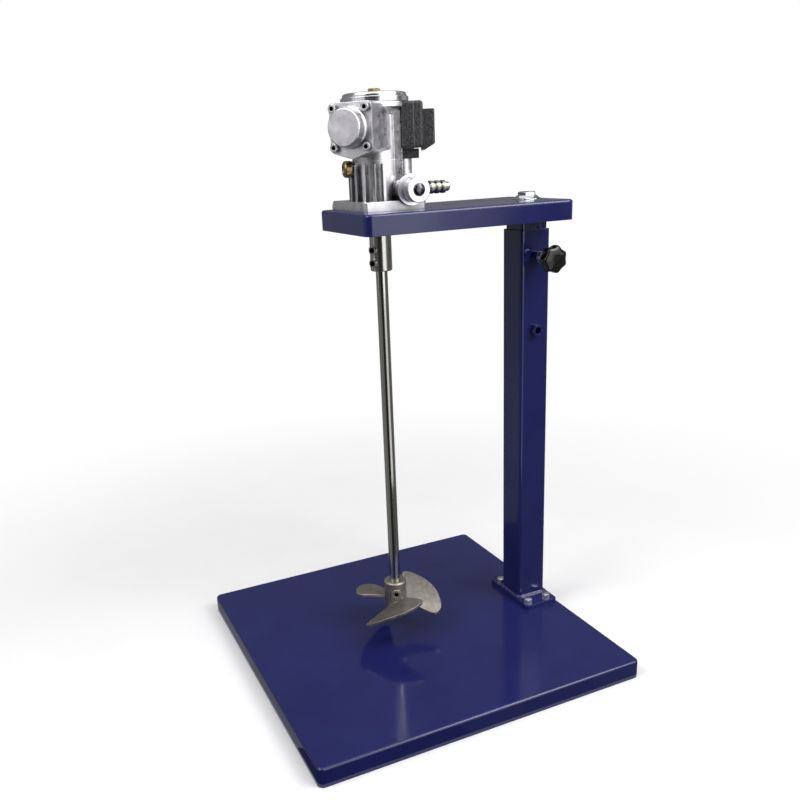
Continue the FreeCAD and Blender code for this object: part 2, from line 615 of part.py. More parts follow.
# Crankcase: a casting with a flared rim, two cylinder blocks and a flat for the exhaust
HEAD_SCREWS = four("screw_pitch / 2", "screw_pitch / 2")
BLOCKS = {"front": sizes.head_angle, "rear": sizes.head_angle - 120}
LINERS = {"front": sizes.head_angle, "rear": sizes.head_angle - 120, "side": EXHAUST_ANGLE}
flare = doc.addObject("Part::Cone", "flare")
bind(flare, Radius1="neck_r", Radius2="case_rim_r", Height="case_flare")
place(flare, z=CASE_TOP + " - case_rim - case_flare")
blank = [rod("barrel", "neck_r", "case_high", z=NECK_TOP), flare,
         rod("rim", "case_rim_r", "case_rim", z=CASE_TOP + " - case_rim")]
for side, angle in BLOCKS.items():
    lobe = plate("lobe_" + side, block_outline(), "block_out")
    finish_edges(lobe, "Fillet", upright, "block_round")
    blank.append(place(lobe, 0, 0, CYLINDER_Z, outward(angle)))
face = plate("exhaust_flat", four("case_high / 2", "column_half", "case_high / 2 - cylinder_drop"),
             "exhaust_in")
blank.append(place(face, 0, 0, CYLINDER_Z, outward(EXHAUST_ANGLE)))
seat = plate("exhaust_seat",
             four("case_high / 2", "exhaust_half + fit_gap", "case_high / 2 - cylinder_drop"),
             "exhaust_thick", "exhaust_in")
x, y = polar("passage_ring", "passage_angle")
VENT = ("vent_r", HOOD_IN, 0, 0, CASE_TOP + " - vent_drop", outward(EXHAUST_ANGLE))
tools = [
    place(seat, 0, 0, CYLINDER_Z, outward(EXHAUST_ANGLE)),
    rod("case_vent", *VENT),
    rod("chamber", "chamber_r", "case_high - case_floor", z=NECK_TOP + " + case_floor"),
    rod("crank_bore", "journal_r + shaft_room", "case_floor", z=NECK_TOP),
    rod("air_way", "passage_r", "case_floor + bolt_end", x, y, NECK_TOP),
]
for side, angle in LINERS.items():
    tools.append(rod("liner_bore", "liner_r + fit_gap", COVER_IN, 0, 0, CYLINDER_Z,
                     outward(angle)))
for angle in BLOCKS.values():
    holes = group("tapped_holes", [
        rod("tapped_hole", "screw_r + fit_gap", "screw_length", x, y,
            COVER_FACE + " - screw_length - screw_end") for x, y in HEAD_SCREWS])
    tools.append(place(holes, 0, 0, CYLINDER_Z, outward(angle)))
at_motor(cut("case_cut", fuse("case_blank", blank), tools), "crankcase")


def head(side, angle):
    """One cylinder head: gasket, domed cover with its spigot, and four socket screws."""
    gasket = plate("gasket_" + side, block_outline(), "gasket", "block_out")
    finish_edges(gasket, "Fillet", upright, "block_round")
    drill(gasket, [("0", "0")], "liner_r + fit_gap", "gasket", COVER_IN)
    drill(gasket, HEAD_SCREWS, "screw_r + fit_gap", "gasket", COVER_IN)
    node(radial(gasket, angle), "head_gasket_" + side)

    cover = plate("cover_" + side, block_outline("cover_lip"), "cover_thick", COVER_IN)
    finish_edges(cover, "Fillet", upright, "cover_round")
    drill(cover, HEAD_SCREWS, "screw_r + fit_gap", "cover_thick", COVER_FACE)
    top = COVER_FACE + " + dome_high"
    dome = turned("dome_" + side, [
        ("0", "liner_out + spigot_gap"), ("liner_r", "liner_out + spigot_gap"),
        ("liner_r", COVER_IN), ("dome_r", COVER_IN),
        ("dome_r", COVER_FACE + " + dome_step"),
        ("dome_r - dome_step_in", COVER_FACE + " + dome_step + dome_step_in"),
        ("dome_top_r + dome_chamfer", top + " - dome_chamfer"), ("dome_top_r", top), ("0", top)])
    node(radial(fuse("cover_solid_" + side, [cover, dome]), angle), "head_cover_" + side)

    screws = []
    for x, y in HEAD_SCREWS:
        body = rod("screw_head", "screw_head_r", "screw_head", x, y, COVER_FACE)
        shank = rod("screw_shank", "screw_r", "screw_length", x, y,
                    COVER_FACE + " - screw_length")
        socket = hexagon("screw_socket", "socket_flats", "socket_deep", x, y,
                         COVER_FACE + " + screw_head - socket_deep")
        screws.append(cut("screw", fuse("screw_blank", [body, shank]), [socket]))
    node(radial(group("screws_" + side, screws), angle), "head_screws_" + side)


for side, angle in BLOCKS.items():
    head(side, angle)


def cylinder(side, angle, level):
    """Liner, piston, gudgeon pin and connecting rod of one cylinder, at top dead centre.

    The three rods bear on one crank roller, so each lies at its own level along the crank."""
    liner = turned("liner_" + side, [
        ("bore_r", "liner_in"), ("liner_r", "liner_in"), ("liner_r", "liner_out"),
        ("bore_r", "liner_out")])
    node(radial(liner, angle), "cylinder_liner_" + side)

    skirt = "(bore_r - piston_gap)"
    low = "(piston_crown - piston_length)"
    piston = turned("skirt_" + side, [
        (skirt + " - piston_wall", low), (skirt, low), (skirt, "piston_crown"),
        ("0", "piston_crown"), ("0", "piston_crown - piston_top"),
        (skirt + " - piston_wall", "piston_crown - piston_top")])
    across = rod("pin_hole", "gudgeon_r + run_clear", "bore_r * 2", "-bore_r", 0, "gudgeon_at",
                 SIDEWARD)
    node(radial(cut("piston_cut_" + side, piston, [across]), angle), "piston_" + side)
    pin = rod("gudgeon_" + side, "gudgeon_r", "gudgeon_half * 2", "-gudgeon_half", 0,
              "gudgeon_at", SIDEWARD)
    node(radial(group("gudgeon_set_" + side, [pin]), angle), "gudgeon_pin_" + side)

    level_x = "(%d) * rod_pitch - rod_thick / 2" % level
    foot_at = "(crank_throw + roller_r + run_gap)"
    shoe = doc.addObject("Part::Box", "shoe_" + side)
    bind(shoe, Length="rod_thick", Width="shoe_half * 2", Height="shoe_thick")
    place(shoe, level_x, "-shoe_half", foot_at)
    web = doc.addObject("Part::Box", "rod_web_" + side)
    bind(web, Length="rod_thick", Width="rod_half * 2", Height="gudgeon_at - %s" % foot_at)
    place(web, level_x, "-rod_half", foot_at)
    eye = rod("rod_eye_" + side, "rod_eye_r", "rod_thick", level_x, 0, "gudgeon_at", SIDEWARD)
    hole = rod("rod_hole_" + side, "gudgeon_r + roller_clear", "rod_thick", level_x, 0,
               "gudgeon_at", SIDEWARD)
    link = cut("rod_" + side, fuse("rod_blank_" + side, [shoe, web, eye]), [hole])
    node(radial(link, angle), "connecting_rod_" + side)


for level, (side, angle) in enumerate(LINERS.items(), start=-1):
    cylinder(side, angle, level)

# Crankshaft: output journal, bearing journal, web and an eccentric pin that carries the
# roller and, on its thin end, drives the rotary valve disc
crank = turned("crank", [
    ("0", "output_low"), ("output_r", "output_low"), ("output_r", "bearing_low - fit_gap"),
    ("journal_r", "bearing_low - fit_gap"), ("journal_r", WEB_LOW), ("web_r", WEB_LOW),
    ("web_r", WEB_TOP), ("0", WEB_TOP)])
pin = rod("crank_pin", "pin_r", "pin_high", "crank_throw", 0, WEB_TOP)
PIN_TOP = "(%s + pin_high)" % WEB_TOP
drive = rod("valve_drive", "drive_r", "drive_high", "crank_throw", 0, PIN_TOP)
at_motor(fuse("crank_solid", [crank, pin, drive]), "crankshaft")
roller = turned("roller", [
    ("pin_r + roller_clear", "0"), ("roller_r", "0"), ("roller_r", "roller_high"),
    ("pin_r + roller_clear", "roller_high")])
node(place(roller, "motor_x + crank_throw", 0, CYLINDER_Z + " - roller_high / 2"),
     "crank_roller")
valve = rod("valve_disc", "valve_r", "valve_thick")
holes = [rod("drive_hole", "drive_r + fit_gap", "drive_high + fit_gap", "crank_throw"),
         rod("valve_port", "valve_port_r", "valve_thick", "-port_ring")]
at_motor(cut("valve_cut", valve, holes), "rotary_valve",
         CASE_TOP + " - run_gap - valve_thick")
port_plate = rod("port_plate_disc", "port_plate_r", "port_plate_thick")
holes = [rod("port", "port_r", "port_plate_thick", *polar("port_ring", str(angle)))
         for angle in LINERS.values()]
at_motor(cut("port_plate_cut", port_plate, holes), "port_plate", CASE_TOP)

# Top cap: a turned cover with a step, closed by a brass oil plug
ROOF = "cap_high - cap_wall"
cap = turned("cap", [
    ("oil_shank_r + fit_gap", ROOF), ("port_plate_r + fit_gap", ROOF),
    ("port_plate_r + fit_gap", "0"), ("cap_r - cap_edge", "0"), ("cap_r", "cap_edge"),
    ("cap_r", "cap_step - cap_edge"), ("cap_r - cap_edge", "cap_step"),
    ("cap_step_r", "cap_step"), ("cap_step_r", "cap_high - cap_round"),
    ("cap_step_r - cap_round * 0.3", "cap_high - cap_round * 0.3"),
    ("cap_step_r - cap_round", "cap_high"), ("oil_shank_r + fit_gap", "cap_high")])
at_motor(cap, "top_cap", CASE_TOP)
node(hex_bolt("oil_plug_solid", "oil_hex", "oil_hex_high", "oil_shank_r", "cap_wall", "motor_x", 0,
              CASE_TOP + " + cap_high"), "oil_plug")

# Exhaust: the block that holds the third cylinder, its cover with a scoop that opens
# downwards, and the foam silencer inside the scoop
BLOCK_LOW = "(block_drop - cylinder_drop)"
block = plate("exhaust_box",
              four("block_drop / 2", "exhaust_half", "block_drop / 2 - cylinder_drop"),
              "exhaust_thick", "exhaust_in")
finish_edges(block, "Fillet", upright, "exhaust_round")
lip = plate("exhaust_lip", four("(lug_high - grille_gap) / 2", "lug_half",
                                BLOCK_LOW + " + (lug_high + grille_gap) / 2"),
            "lug_out - exhaust_in", "exhaust_in")
finish_edges(lip, "Fillet", upright_beyond(lip.Shape.BoundBox.Center.x), "lug_round")
lug = plate("exhaust_lug", four("lug_high / 2", "lug_half", BLOCK_LOW), "exhaust_thick",
            "exhaust_in")
bore = rod("third_bore", "liner_r + fit_gap", COVER_IN)
vent = rod("third_vent", "vent_r", HOOD_IN, "vent_drop - cylinder_drop")
block = cut("exhaust_block_cut", fuse("exhaust_block_blank", [block, lip, lug]), [bore, vent])
node(radial(block, EXHAUST_ANGLE), "exhaust_block")

cover = plate("grille", four("(block_drop - grille_gap) / 2", "exhaust_half",
                             "(block_drop - grille_gap) / 2 - cylinder_drop"),
              "grille_thick", EXHAUST_FACE)
finish_edges(cover, "Fillet", upright, "exhaust_round")
finish_edges(cover, "Fillet", level_at(cover.Shape.BoundBox.ZMax), "grille_round")
hood = doc.addObject("PartDesign::Body", "hood")
sketch = new_sketch(hood, "XZ_Plane")
outline(sketch, [
    ("hood_top_drop - cylinder_drop", HOOD_IN),
    ("hood_top_drop - cylinder_drop", HOOD_IN + " + hood_thick"),
    ("hood_out_drop - cylinder_drop", HOOD_IN + " + hood_thick"),
    ("hood_in_drop - cylinder_drop", HOOD_IN)])
pad(hood, sketch, "hood_half * 2", both_ways=True)
finish_edges(hood, "Fillet", level_at(hood.Shape.BoundBox.ZMax), "hood_round")
sketch = new_sketch(hood, "XZ_Plane")
HOLLOW_TOP = "(hood_top_drop - cylinder_drop + hood_wall)"
outline(sketch, [
    (HOLLOW_TOP, HOOD_IN), (HOLLOW_TOP, HOOD_IN + " + hood_thick - hood_wall"),
    ("hood_in_drop", HOOD_IN + " + hood_thick - hood_wall"), ("hood_in_drop", HOOD_IN)])
pocket(hood, sketch, "(hood_half - hood_wall) * 2", both_ways=True)
bore = rod("cover_bore", "liner_r + fit_gap", "liner_out + spigot_gap")
vent = rod("cover_vent", "vent_r", HOOD_IN + " + fit_gap", "vent_drop - cylinder_drop")
cover = fuse("exhaust_cover_solid", [cut("grille_cut", cover, [bore, vent]), hood])
node(radial(cover, EXHAUST_ANGLE), "exhaust_cover")

foam = doc.addObject("Part::Box", "foam")
bind(foam, Length="foam_high", Width="(hood_half - hood_wall - foam_gap) * 2",
     Height="hood_thick - hood_wall - foam_gap * 2")
place(foam, HOLLOW_TOP + " + foam_gap", "foam_gap + hood_wall - hood_half",
      HOOD_IN + " + foam_gap")
node(radial(group("foam_set", [foam]), EXHAUST_ANGLE), "silencer_foam")

# Throttle valve on the front of the housing, turned about a level axis
BONNET_TOP = "(boss_out + bonnet_thick)"
GRIP_Z = "(boss_out + bonnet_thick + bonnet_neck + run_gap)"
GRIP_END = "(boss_out + bonnet_thick + bonnet_neck + run_gap + grip_long)"


def on_throttle(thing, label):
    return node(place(thing, "motor_x + throttle_x", 0, THROTTLE_Z, FRONTWARD), label)


on_throttle(turned("bonnet", [
    ("neck_spindle_r + spindle_clear", "boss_out"), ("bonnet_r - bonnet_edge", "boss_out"),
    ("bonnet_r", "boss_out + bonnet_edge"), ("bonnet_r", BONNET_TOP),
    ("bonnet_neck_r", BONNET_TOP), ("bonnet_neck_r", BONNET_TOP + " + bonnet_neck"),
    ("neck_spindle_r + spindle_clear", BONNET_TOP + " + bonnet_neck")]), "throttle_bonnet")
TIP = "(spindle_in + spindle_end_gap)"
on_throttle(turned("spindle", [
    ("0", TIP), ("needle_tip_r", TIP), ("needle_r", TIP + " + needle_cone"),
    ("needle_r", TIP + " + needle_long"), ("spindle_r", TIP + " + needle_long"),
    ("spindle_r", "boss_out - spindle_end_gap"), ("neck_spindle_r", "boss_out - spindle_end_gap"),
    ("neck_spindle_r", GRIP_END + " - grip_wall"), ("0", GRIP_END + " - grip_wall")]),
    "throttle_spindle")
on_throttle(turned("grip", [
    ("neck_spindle_r + fit_gap", GRIP_Z), ("grip_r - grip_round", GRIP_Z),
    ("grip_r", GRIP_Z + " + grip_round"), ("grip_r", GRIP_END + " - grip_round"),
    ("grip_r - grip_round", GRIP_END), ("button_r + fit_gap", GRIP_END),
    ("button_r + fit_gap", GRIP_END + " - button_seat"), ("0", GRIP_END + " - button_seat"),
    ("0", GRIP_END + " - grip_wall + fit_gap"),
    ("neck_spindle_r + fit_gap", GRIP_END + " - grip_wall + fit_gap")]), "throttle_knob")
dome = [("button_r * cos(%d)" % angle, GRIP_END + " + button_high * sin(%d)" % angle)
        for angle in (0, 25, 50, 70)]
on_throttle(turned("button", [("0", GRIP_END + " - button_seat + fit_gap"),
                              ("button_r", GRIP_END + " - button_seat + fit_gap")]
                   + dome + [("0", GRIP_END + " + button_high")]), "knob_button")

# Air nipple in the inlet boss: hexagon, ribbed stem and rounded mouth
RIBS_FROM = "(inlet_out + nipple_hex_long)"
stem = [("0", "inlet_out - inlet_shank"), ("inlet_bore_r - fit_gap", "inlet_out - inlet_shank"),
        ("inlet_bore_r - fit_gap", RIBS_FROM)]
for k in range(int(sizes.nipple_ribs)):
    start = "%s + %d * nipple_pitch" % (RIBS_FROM, k)
    stem += [("nipple_r", start), ("nipple_rib_r", start + " + nipple_pitch / 4"),
             ("nipple_rib_r", start + " + nipple_pitch * 3 / 4"),
             ("nipple_r", start + " + nipple_pitch * 0.9")]
STEM_END = "(%s + nipple_ribs * nipple_pitch + nipple_tip)" % RIBS_FROM
stem += [("nipple_r", STEM_END + " - nipple_tip_in"), ("nipple_r - nipple_tip_in", STEM_END),
         ("0", STEM_END)]
nut = hexagon("nipple_nut", "nipple_hex", "nipple_hex_long", z="inlet_out")
hole = rod("nipple_hole", "nipple_hole_r", STEM_END)
nipple = cut("nipple_cut", fuse("nipple_blank", [turned("nipple_stem", stem), nut]), [hole])
node(place(nipple, "motor_x", "-inlet_y", THROTTLE_Z, SIDEWARD), "air_nipple")

# Coupling between the output shaft and the stirrer shaft, with two grub screws
STIRRER_TOP = "(output_low - shaft_gap)"
sleeve = turned("sleeve", [
    ("0", "coupling_low"), ("coupling_r - coupling_edge", "coupling_low"),
    ("coupling_r", "coupling_low + coupling_edge"),
    ("coupling_r", "coupling_top - coupling_edge"),
    ("coupling_r - coupling_edge", "coupling_top"), ("0", "coupling_top")])
blank = [sleeve]
holes = [rod("upper_bore", "output_r + fit_gap", "coupling_top - %s" % STIRRER_TOP,
             z=STIRRER_TOP + " + fit_gap"),
         rod("lower_bore", "stirrer_r + fit_gap", STIRRER_TOP + " + fit_gap - coupling_low",
             z="coupling_low")]
screws = []
grub_turn = outward(sizes.grub_angle)
GRUBS = {"output_r": "output_low + grub_reach", "stirrer_r": STIRRER_TOP + " - grub_reach"}
for shaft, height in GRUBS.items():
    blank.append(rod("grub_boss", "grub_boss_r", "coupling_r + grub_boss", 0, 0, height,
                     grub_turn))
    holes.append(rod("grub_hole", "grub_r + fit_gap", "coupling_r * 2", 0, 0, height, grub_turn))
    x, y = polar(shaft + " + fit_gap", "grub_angle")
    screws.append(rod("grub", "grub_r", "coupling_r + grub_boss + grub_proud - %s" % shaft, x, y,
                      height, grub_turn))
at_motor(cut("coupling_cut", fuse("coupling_blank", blank), holes), "coupling")
at_motor(group("grub_set", screws), "coupling_screws")
at_motor(rod("stirrer", "stirrer_r", STIRRER_TOP + " - stirrer_low"), "stirrer_shaft",
         "stirrer_low")


def camber(body, distance, height, lean):
    """One section of a blade, across its middle line: a curved strip of the blade's thickness.

    It arches upwards, and leans so that it rises towards the blade's high edge."""
    sketch = new_sketch(body, "YZ_Plane", distance)
    centre_x = "camber_r * sin(%s)" % lean
    centre_y = "%s - camber_r * cos(%s)" % (height, lean)
    tilt = math.radians(sizes.getPropertyByName(lean))
    half = math.radians(sizes.camber_half)
    centre = Vector(sizes.camber_r * math.sin(tilt),
                    sizes.getPropertyByName(height) - sizes.camber_r * math.cos(tilt))
    for side in (1, -1):
        whole = Part.Circle(centre, Vector(0, 0, 1), sizes.camber_r + side * sizes.blade_thick / 2)
        first = math.pi / 2 + tilt - half
        arc = sketch.addGeometry(Part.ArcOfCircle(whole, first, first + 2 * half), False)
        radius = "(camber_r + (%d) * blade_thick / 2)" % side
        fix_point(sketch, arc, 3, centre_x, centre_y)
        fix_point(sketch, arc, 1, "%s + %s * sin(camber_half - %s)" % (centre_x, radius, lean),
                  "%s + %s * cos(camber_half - %s)" % (centre_y, radius, lean))
        fix_point(sketch, arc, 2, "%s - %s * sin(camber_half + %s)" % (centre_x, radius, lean),
                  None)
    for end in (1, 2):
        edge = Part.LineSegment(sketch.getPoint(0, end), sketch.getPoint(1, end))
        line = sketch.addGeometry(edge, False)
        sketch.addConstraint(Sketcher.Constraint("Coincident", line, 1, 0, end))
        sketch.addConstraint(Sketcher.Constraint("Coincident", line, 2, 1, end))
    return sketch


def blade(number):
    """One impeller blade: a cambered, twisted sheet cut to its outline as seen from above.

    Its middle lies along its own X axis. The sheet runs from a steep section on the shaft's
    axis to a flatter and higher one past the rim. The rim is part of a circle set off from
    the axis, and the two edges run out from the hub and meet the rim in round corners."""
    sheet = doc.addObject("PartDesign::Body", "blade_sheet")
    root = camber(sheet, "0", "root_up", "root_lean")
    far = camber(sheet, "blade_far", "far_up", "far_lean")
    doc.recompute()
    twist = sheet.newObject("PartDesign::AdditiveLoft", "blade_twist")
    twist.Profile = root
    twist.Sections = [far]
    twist.Ruled = True
    doc.recompute()

    plan = doc.addObject("PartDesign::Body", "blade_plan")
    sketch = new_sketch(plan, lift="-edge_far")
    circle(sketch, *polar("rim_shift", "rim_turn"), "rim_r")
    pad(plan, sketch, "edge_far * 2")
    sketch = new_sketch(plan, lift="edge_far")
    outline(sketch, [
        polar("edge_root_r", "low_root"), polar("edge_root_r", "high_root"),
        polar("edge_far", "high_edge"), polar("edge_far * 1.5", "high_edge + 80"),
        polar("edge_far * 1.5", "low_edge - 80"), polar("edge_far", "low_edge")])
    pocket(plan, sketch, "edge_far * 2")
    for side, radius in ((-1, "low_round"), (1, "high_round")):
        def corner(edge):
            box = edge.BoundBox
            return upright(edge) and box.YMin * side > 0 and box.XMin > sizes.hub_r * 1.5
        finish_edges(plan, "Fillet", corner, radius)

    shape = doc.addObject("Part::Common", "blade_shape")
    shape.Base = sheet
    shape.Tool = plan
    turn = Rotation(Vector(0, 0, 1), sizes.blade_first + number * 360 / sizes.blades)
    return place(shape, 0, 0, "stirrer_low", turn)


# Impeller: a cast hub with three twisted blades, held on the shaft by a sunk grub screw
HUB_TOP = "(stirrer_low + hub_high)"
hub = turned("hub", [
    ("0", "stirrer_low"), ("hub_r - hub_edge", "stirrer_low"), ("hub_r", "stirrer_low + hub_edge"),
    ("hub_r", HUB_TOP + " - hub_edge"), ("hub_r - hub_edge", HUB_TOP), ("0", HUB_TOP)])
blades = [blade(number) for number in range(int(sizes.blades))]
hub_turn = outward(sizes.hub_screw_angle)
SCREW_Z = "(stirrer_low + hub_screw_up)"
boss = rod("hub_boss_solid", "hub_boss_r", "hub_r + hub_boss", 0, 0, SCREW_Z, hub_turn)
blank = fuse("impeller_blank", [hub, boss] + blades, refine=False)
holes = [rod("hub_bore", "stirrer_r + fit_gap", "hub_high", z="stirrer_low"),
         rod("hub_screw_hole", "hub_screw_r + fit_gap", "hub_r * 2", 0, 0, SCREW_Z, hub_turn)]
at_motor(cut("impeller_cut", blank, holes), "impeller")
x, y = polar("stirrer_r + fit_gap", "hub_screw_angle")
screw = rod("hub_screw", "hub_screw_r", "hub_r + hub_boss - hub_screw_sunk - stirrer_r", x, y,
            SCREW_Z, hub_turn)
at_motor(group("hub_screw_set", [screw]), "impeller_screw")

# Check every object and piece, then write one file for each piece
doc.recompute()
for thing in doc.Objects:
    if "Invalid" in thing.State or "Error" in thing.State:
        raise ValueError("%s is not sound: %s" % (thing.Name, thing.State))
for thing in parts:
    if thing.Shape.isNull() or not thing.Shape.isValid():
        raise ValueError(thing.Label + " has no valid shape")
for thing in parts:
    thing.Shape.exportStep("parts/%s.step" % thing.Label)
    box = thing.Shape.BoundBox
    print("%-24s %2d solids %10.0f mm3  x %.1f %.1f  y %.1f %.1f  z %.1f %.1f" % (
        thing.Label, len(thing.Shape.Solids), thing.Shape.Volume, box.XMin, box.XMax,
        box.YMin, box.YMax, box.ZMin, box.ZMax))
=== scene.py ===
import math
import bmesh
import bpy
from mathutils import Matrix, Quaternion, Vector


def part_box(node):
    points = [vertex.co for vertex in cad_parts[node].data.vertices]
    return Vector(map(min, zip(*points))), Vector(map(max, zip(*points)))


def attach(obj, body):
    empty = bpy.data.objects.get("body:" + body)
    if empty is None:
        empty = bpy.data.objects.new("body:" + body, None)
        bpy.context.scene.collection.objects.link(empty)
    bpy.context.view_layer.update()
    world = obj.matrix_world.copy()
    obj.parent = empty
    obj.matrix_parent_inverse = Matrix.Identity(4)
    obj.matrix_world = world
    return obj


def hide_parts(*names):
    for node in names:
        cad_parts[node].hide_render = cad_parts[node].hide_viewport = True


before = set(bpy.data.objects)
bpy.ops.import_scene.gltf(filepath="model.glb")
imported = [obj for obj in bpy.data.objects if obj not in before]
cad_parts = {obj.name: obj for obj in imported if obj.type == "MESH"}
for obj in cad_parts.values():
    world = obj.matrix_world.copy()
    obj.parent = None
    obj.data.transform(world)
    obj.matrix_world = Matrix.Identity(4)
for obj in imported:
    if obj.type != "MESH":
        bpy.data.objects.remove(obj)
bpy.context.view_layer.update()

# Base tray: two-millimetre mild steel sheet, folded down on four sides and welded at the
# corners. Gloss polyester powder coat, deep blue violet, baked on; it carries the whole tool
# and stands on its rim.


def colour(code):
    """A linear colour from an sRGB hex value."""
    parts = [int(code[k:k + 2], 16) / 255 for k in (0, 2, 4)]
    linear = [c / 12.92 if c <= 0.04045 else ((c + 0.055) / 1.055) ** 2.4 for c in parts]
    return (*linear, 1.0)


def add(tree, kind, values=(), links=(), **settings):
    """Add a shader node with its settings, its input values and its input links."""
    made = tree.nodes.new("ShaderNode" + kind)
    for key, value in settings.items():
        setattr(made, key, value)
    for key, value in dict(values).items():
        made.inputs[key].default_value = value
    for key, source in dict(links).items():
        tree.links.new(source, made.inputs[key])
    return made


def start(name, metallic, roughness):
    """A new material: itself, its tree, its surface shader and its place on the object."""
    material = bpy.data.materials.new(name)
    material.use_nodes = True
    tree = material.node_tree
    surface = tree.nodes["Principled BSDF"]
    surface.inputs["Metallic"].default_value = metallic
    surface.inputs["Roughness"].default_value = roughness
    return material, tree, surface, add(tree, "TexCoord").outputs["Object"]


def shades(tree, where, size, dark, light):
    """A colour that wanders between two hex values in patches of about a size in metres."""
    patches = add(tree, "TexNoise", {"Scale": 1 / size, "Detail": 5.0, "Roughness": 0.6},
                  {"Vector": where})
    spread = add(tree, "MapRange", {"From Min": 0.3, "From Max": 0.7},
                 {"Value": patches.outputs["Fac"]})
    return add(tree, "Mix", {6: colour(dark), 7: colour(light)}, {0: spread.outputs["Result"]},
               data_type="RGBA").outputs[2]


def wander(tree, where, size, low, high):
    """A number that wanders between two values in patches of about a size in metres."""
    patches = add(tree, "TexNoise", {"Scale": 1 / size, "Detail": 4.0}, {"Vector": where})
    return add(tree, "MapRange",
               {"From Min": 0.35, "From Max": 0.65, "To Min": low, "To Max": high},
               {"Value": patches.outputs["Fac"]}).outputs["Result"]


def on_edges(tree, bumps, high, soft_edge):
    """Bumps of a height in metres, laid over edges that are softened by a radius."""
    edge = add(tree, "Bevel", {"Radius": soft_edge}, samples=4)
    return add(tree, "Bump", {"Strength": 1.0, "Distance": high},
               {"Height": bumps, "Normal": edge.outputs["Normal"]}).outputs["Normal"]


def relief(tree, where, size, high, detail=2.0, soft_edge=0.0004):
    """Bumps of about a size and a height in metres, over slightly broken edges."""
    bumps = add(tree, "TexNoise", {"Scale": 1 / size, "Detail": detail}, {"Vector": where})
    return on_edges(tree, bumps.outputs["Fac"], high, soft_edge)


def lay(tree, surface, tone, dull=None, bumps=None):
    """Give a surface its colour, its dullness and its bumps."""
    for socket, source in (("Base Color", tone), ("Roughness", dull), ("Normal", bumps)):
        if source is not None:
            tree.links.new(source, surface.inputs[socket])


def dress(material, *nodes):
    """Give CAD nodes a material."""
    for name in nodes:
        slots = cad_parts[name].data.materials
        slots.clear()
        slots.append(material)


# The coat levels to a faint orange peel, about three millimetres across, and pools a little
# darker in places; its gloss is even, with a few dull hand marks.
COAT_DARK, COAT_LIGHT = "1b1f54", "20245c"
PEEL, PEEL_HIGH = 0.003, 0.000012
coat, tree, surface, where = start("blue_polyester_powder_coat", metallic=0.0, roughness=0.12)
lay(tree, surface, shades(tree, where, 0.06, COAT_DARK, COAT_LIGHT),
    wander(tree, where, 0.045, low=0.09, high=0.16),
    relief(tree, where, PEEL, PEEL_HIGH, detail=1.0, soft_edge=0.0008))
surface.inputs["IOR"].default_value = 1.5
dress(coat, "base_tray")

# Foot plate and its weld: a laser-cut steel plate under the post, in the same coat. The bead
# is a hand-laid fillet weld, whose overlapping ripples show through the coat.
BEAD_STEP, BEAD_R, BEAD_INSET, BEAD_FLAT = 0.0022, 0.0021, 0.0006, 0.8
BEAD_TWIST, TWIST_BEAT, BEAD_SWELL, SWELL_BEAT = 0.12, 2.3, 0.08, 1.7
low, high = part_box("outer_post")
bead_x = (low.x + high.x) / 2
bead_z = low.z + BEAD_INSET
bead_line = (high.x - low.x) / 2 + BEAD_INSET


def to_object(bm, name, material):
    """Turn a bmesh into an object of the scene."""
    mesh = bpy.data.meshes.new(name)
    bm.to_mesh(mesh)
    bm.free()
    mesh.materials.append(material)
    made = bpy.data.objects.new(name, mesh)
    bpy.context.scene.collection.objects.link(made)
    return made


def to_piece(bm, name, material, body, smooth_below=35):
    """Turn a bmesh into a piece that rides on a body, smooth but for its sharp edges."""
    bmesh.ops.remove_doubles(bm, verts=bm.verts, dist=1e-6)
    bmesh.ops.recalc_face_normals(bm, faces=bm.faces)
    sharp = math.radians(smooth_below)
    for face in bm.faces:
        face.smooth = True
    for edge in bm.edges:
        edge.smooth = len(edge.link_faces) == 2 and edge.calc_face_angle(0) < sharp
    made = to_object(bm, name, material)
    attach(made, body)
    return made


# Each ripple is a flattened ball, turned and swollen by a little, so that no two look alike.
bm = bmesh.new()
ripples = round(2 * bead_line / BEAD_STEP)
for quarter in range(4):
    facing = quarter * math.pi / 2
    for k in range(ripples):
        along = -bead_line + (k + 0.5) * BEAD_STEP
        spot = Matrix.Rotation(facing, 4, "Z") @ Vector((bead_line, along, 0))
        spot += Vector((bead_x, 0, bead_z))
        turn = Matrix.Rotation(facing + BEAD_TWIST * math.sin(k * TWIST_BEAT), 4, "Z")
        swell = 1 + BEAD_SWELL * math.sin(k * SWELL_BEAT)
        ball = bmesh.ops.create_uvsphere(bm, u_segments=12, v_segments=8, radius=BEAD_R)["verts"]
        bmesh.ops.scale(bm, verts=ball, vec=(1, BEAD_FLAT, swell))
        bmesh.ops.transform(bm, verts=ball, matrix=Matrix.Translation(spot) @ turn)
to_piece(bm, "weld_ripples", coat, "stand", smooth_below=80)
dress(coat, "foot_plate")

# Foot bolts and nuts: M6 hexagon bolts of zinc-plated steel, through the plate and the tray.
# Their heads are forged, with the corners turned off on top at thirty degrees.
CORNER_SLOPE, CROWN_SHARE = math.radians(30), 0.47
FOOT_FLATS, FOOT_HEAD, FOOT_SHANK_R = 0.010, 0.004, 0.003
POINT_UP = math.pi / 6


def pull(bm, ring, move):
    """Pull a ring of edges out into a new ring, with each of its points moved."""
    made = bmesh.ops.extrude_edge_only(bm, edges=ring)["geom"]
    for item in made:
        if isinstance(item, bmesh.types.BMVert):
            item.co = move(item.co)
    return [item for item in made if isinstance(item, bmesh.types.BMEdge)]


def on_hexagon(co, flats):
    """The point of a hexagon, of a width across flats, in the direction of a point."""
    angle = math.atan2(co.y, co.x)
    reach = flats / 2 / math.cos((angle + math.pi / 6) % (math.pi / 3) - math.pi / 6)
    return Vector((math.cos(angle) * reach, math.sin(angle) * reach, co.z))


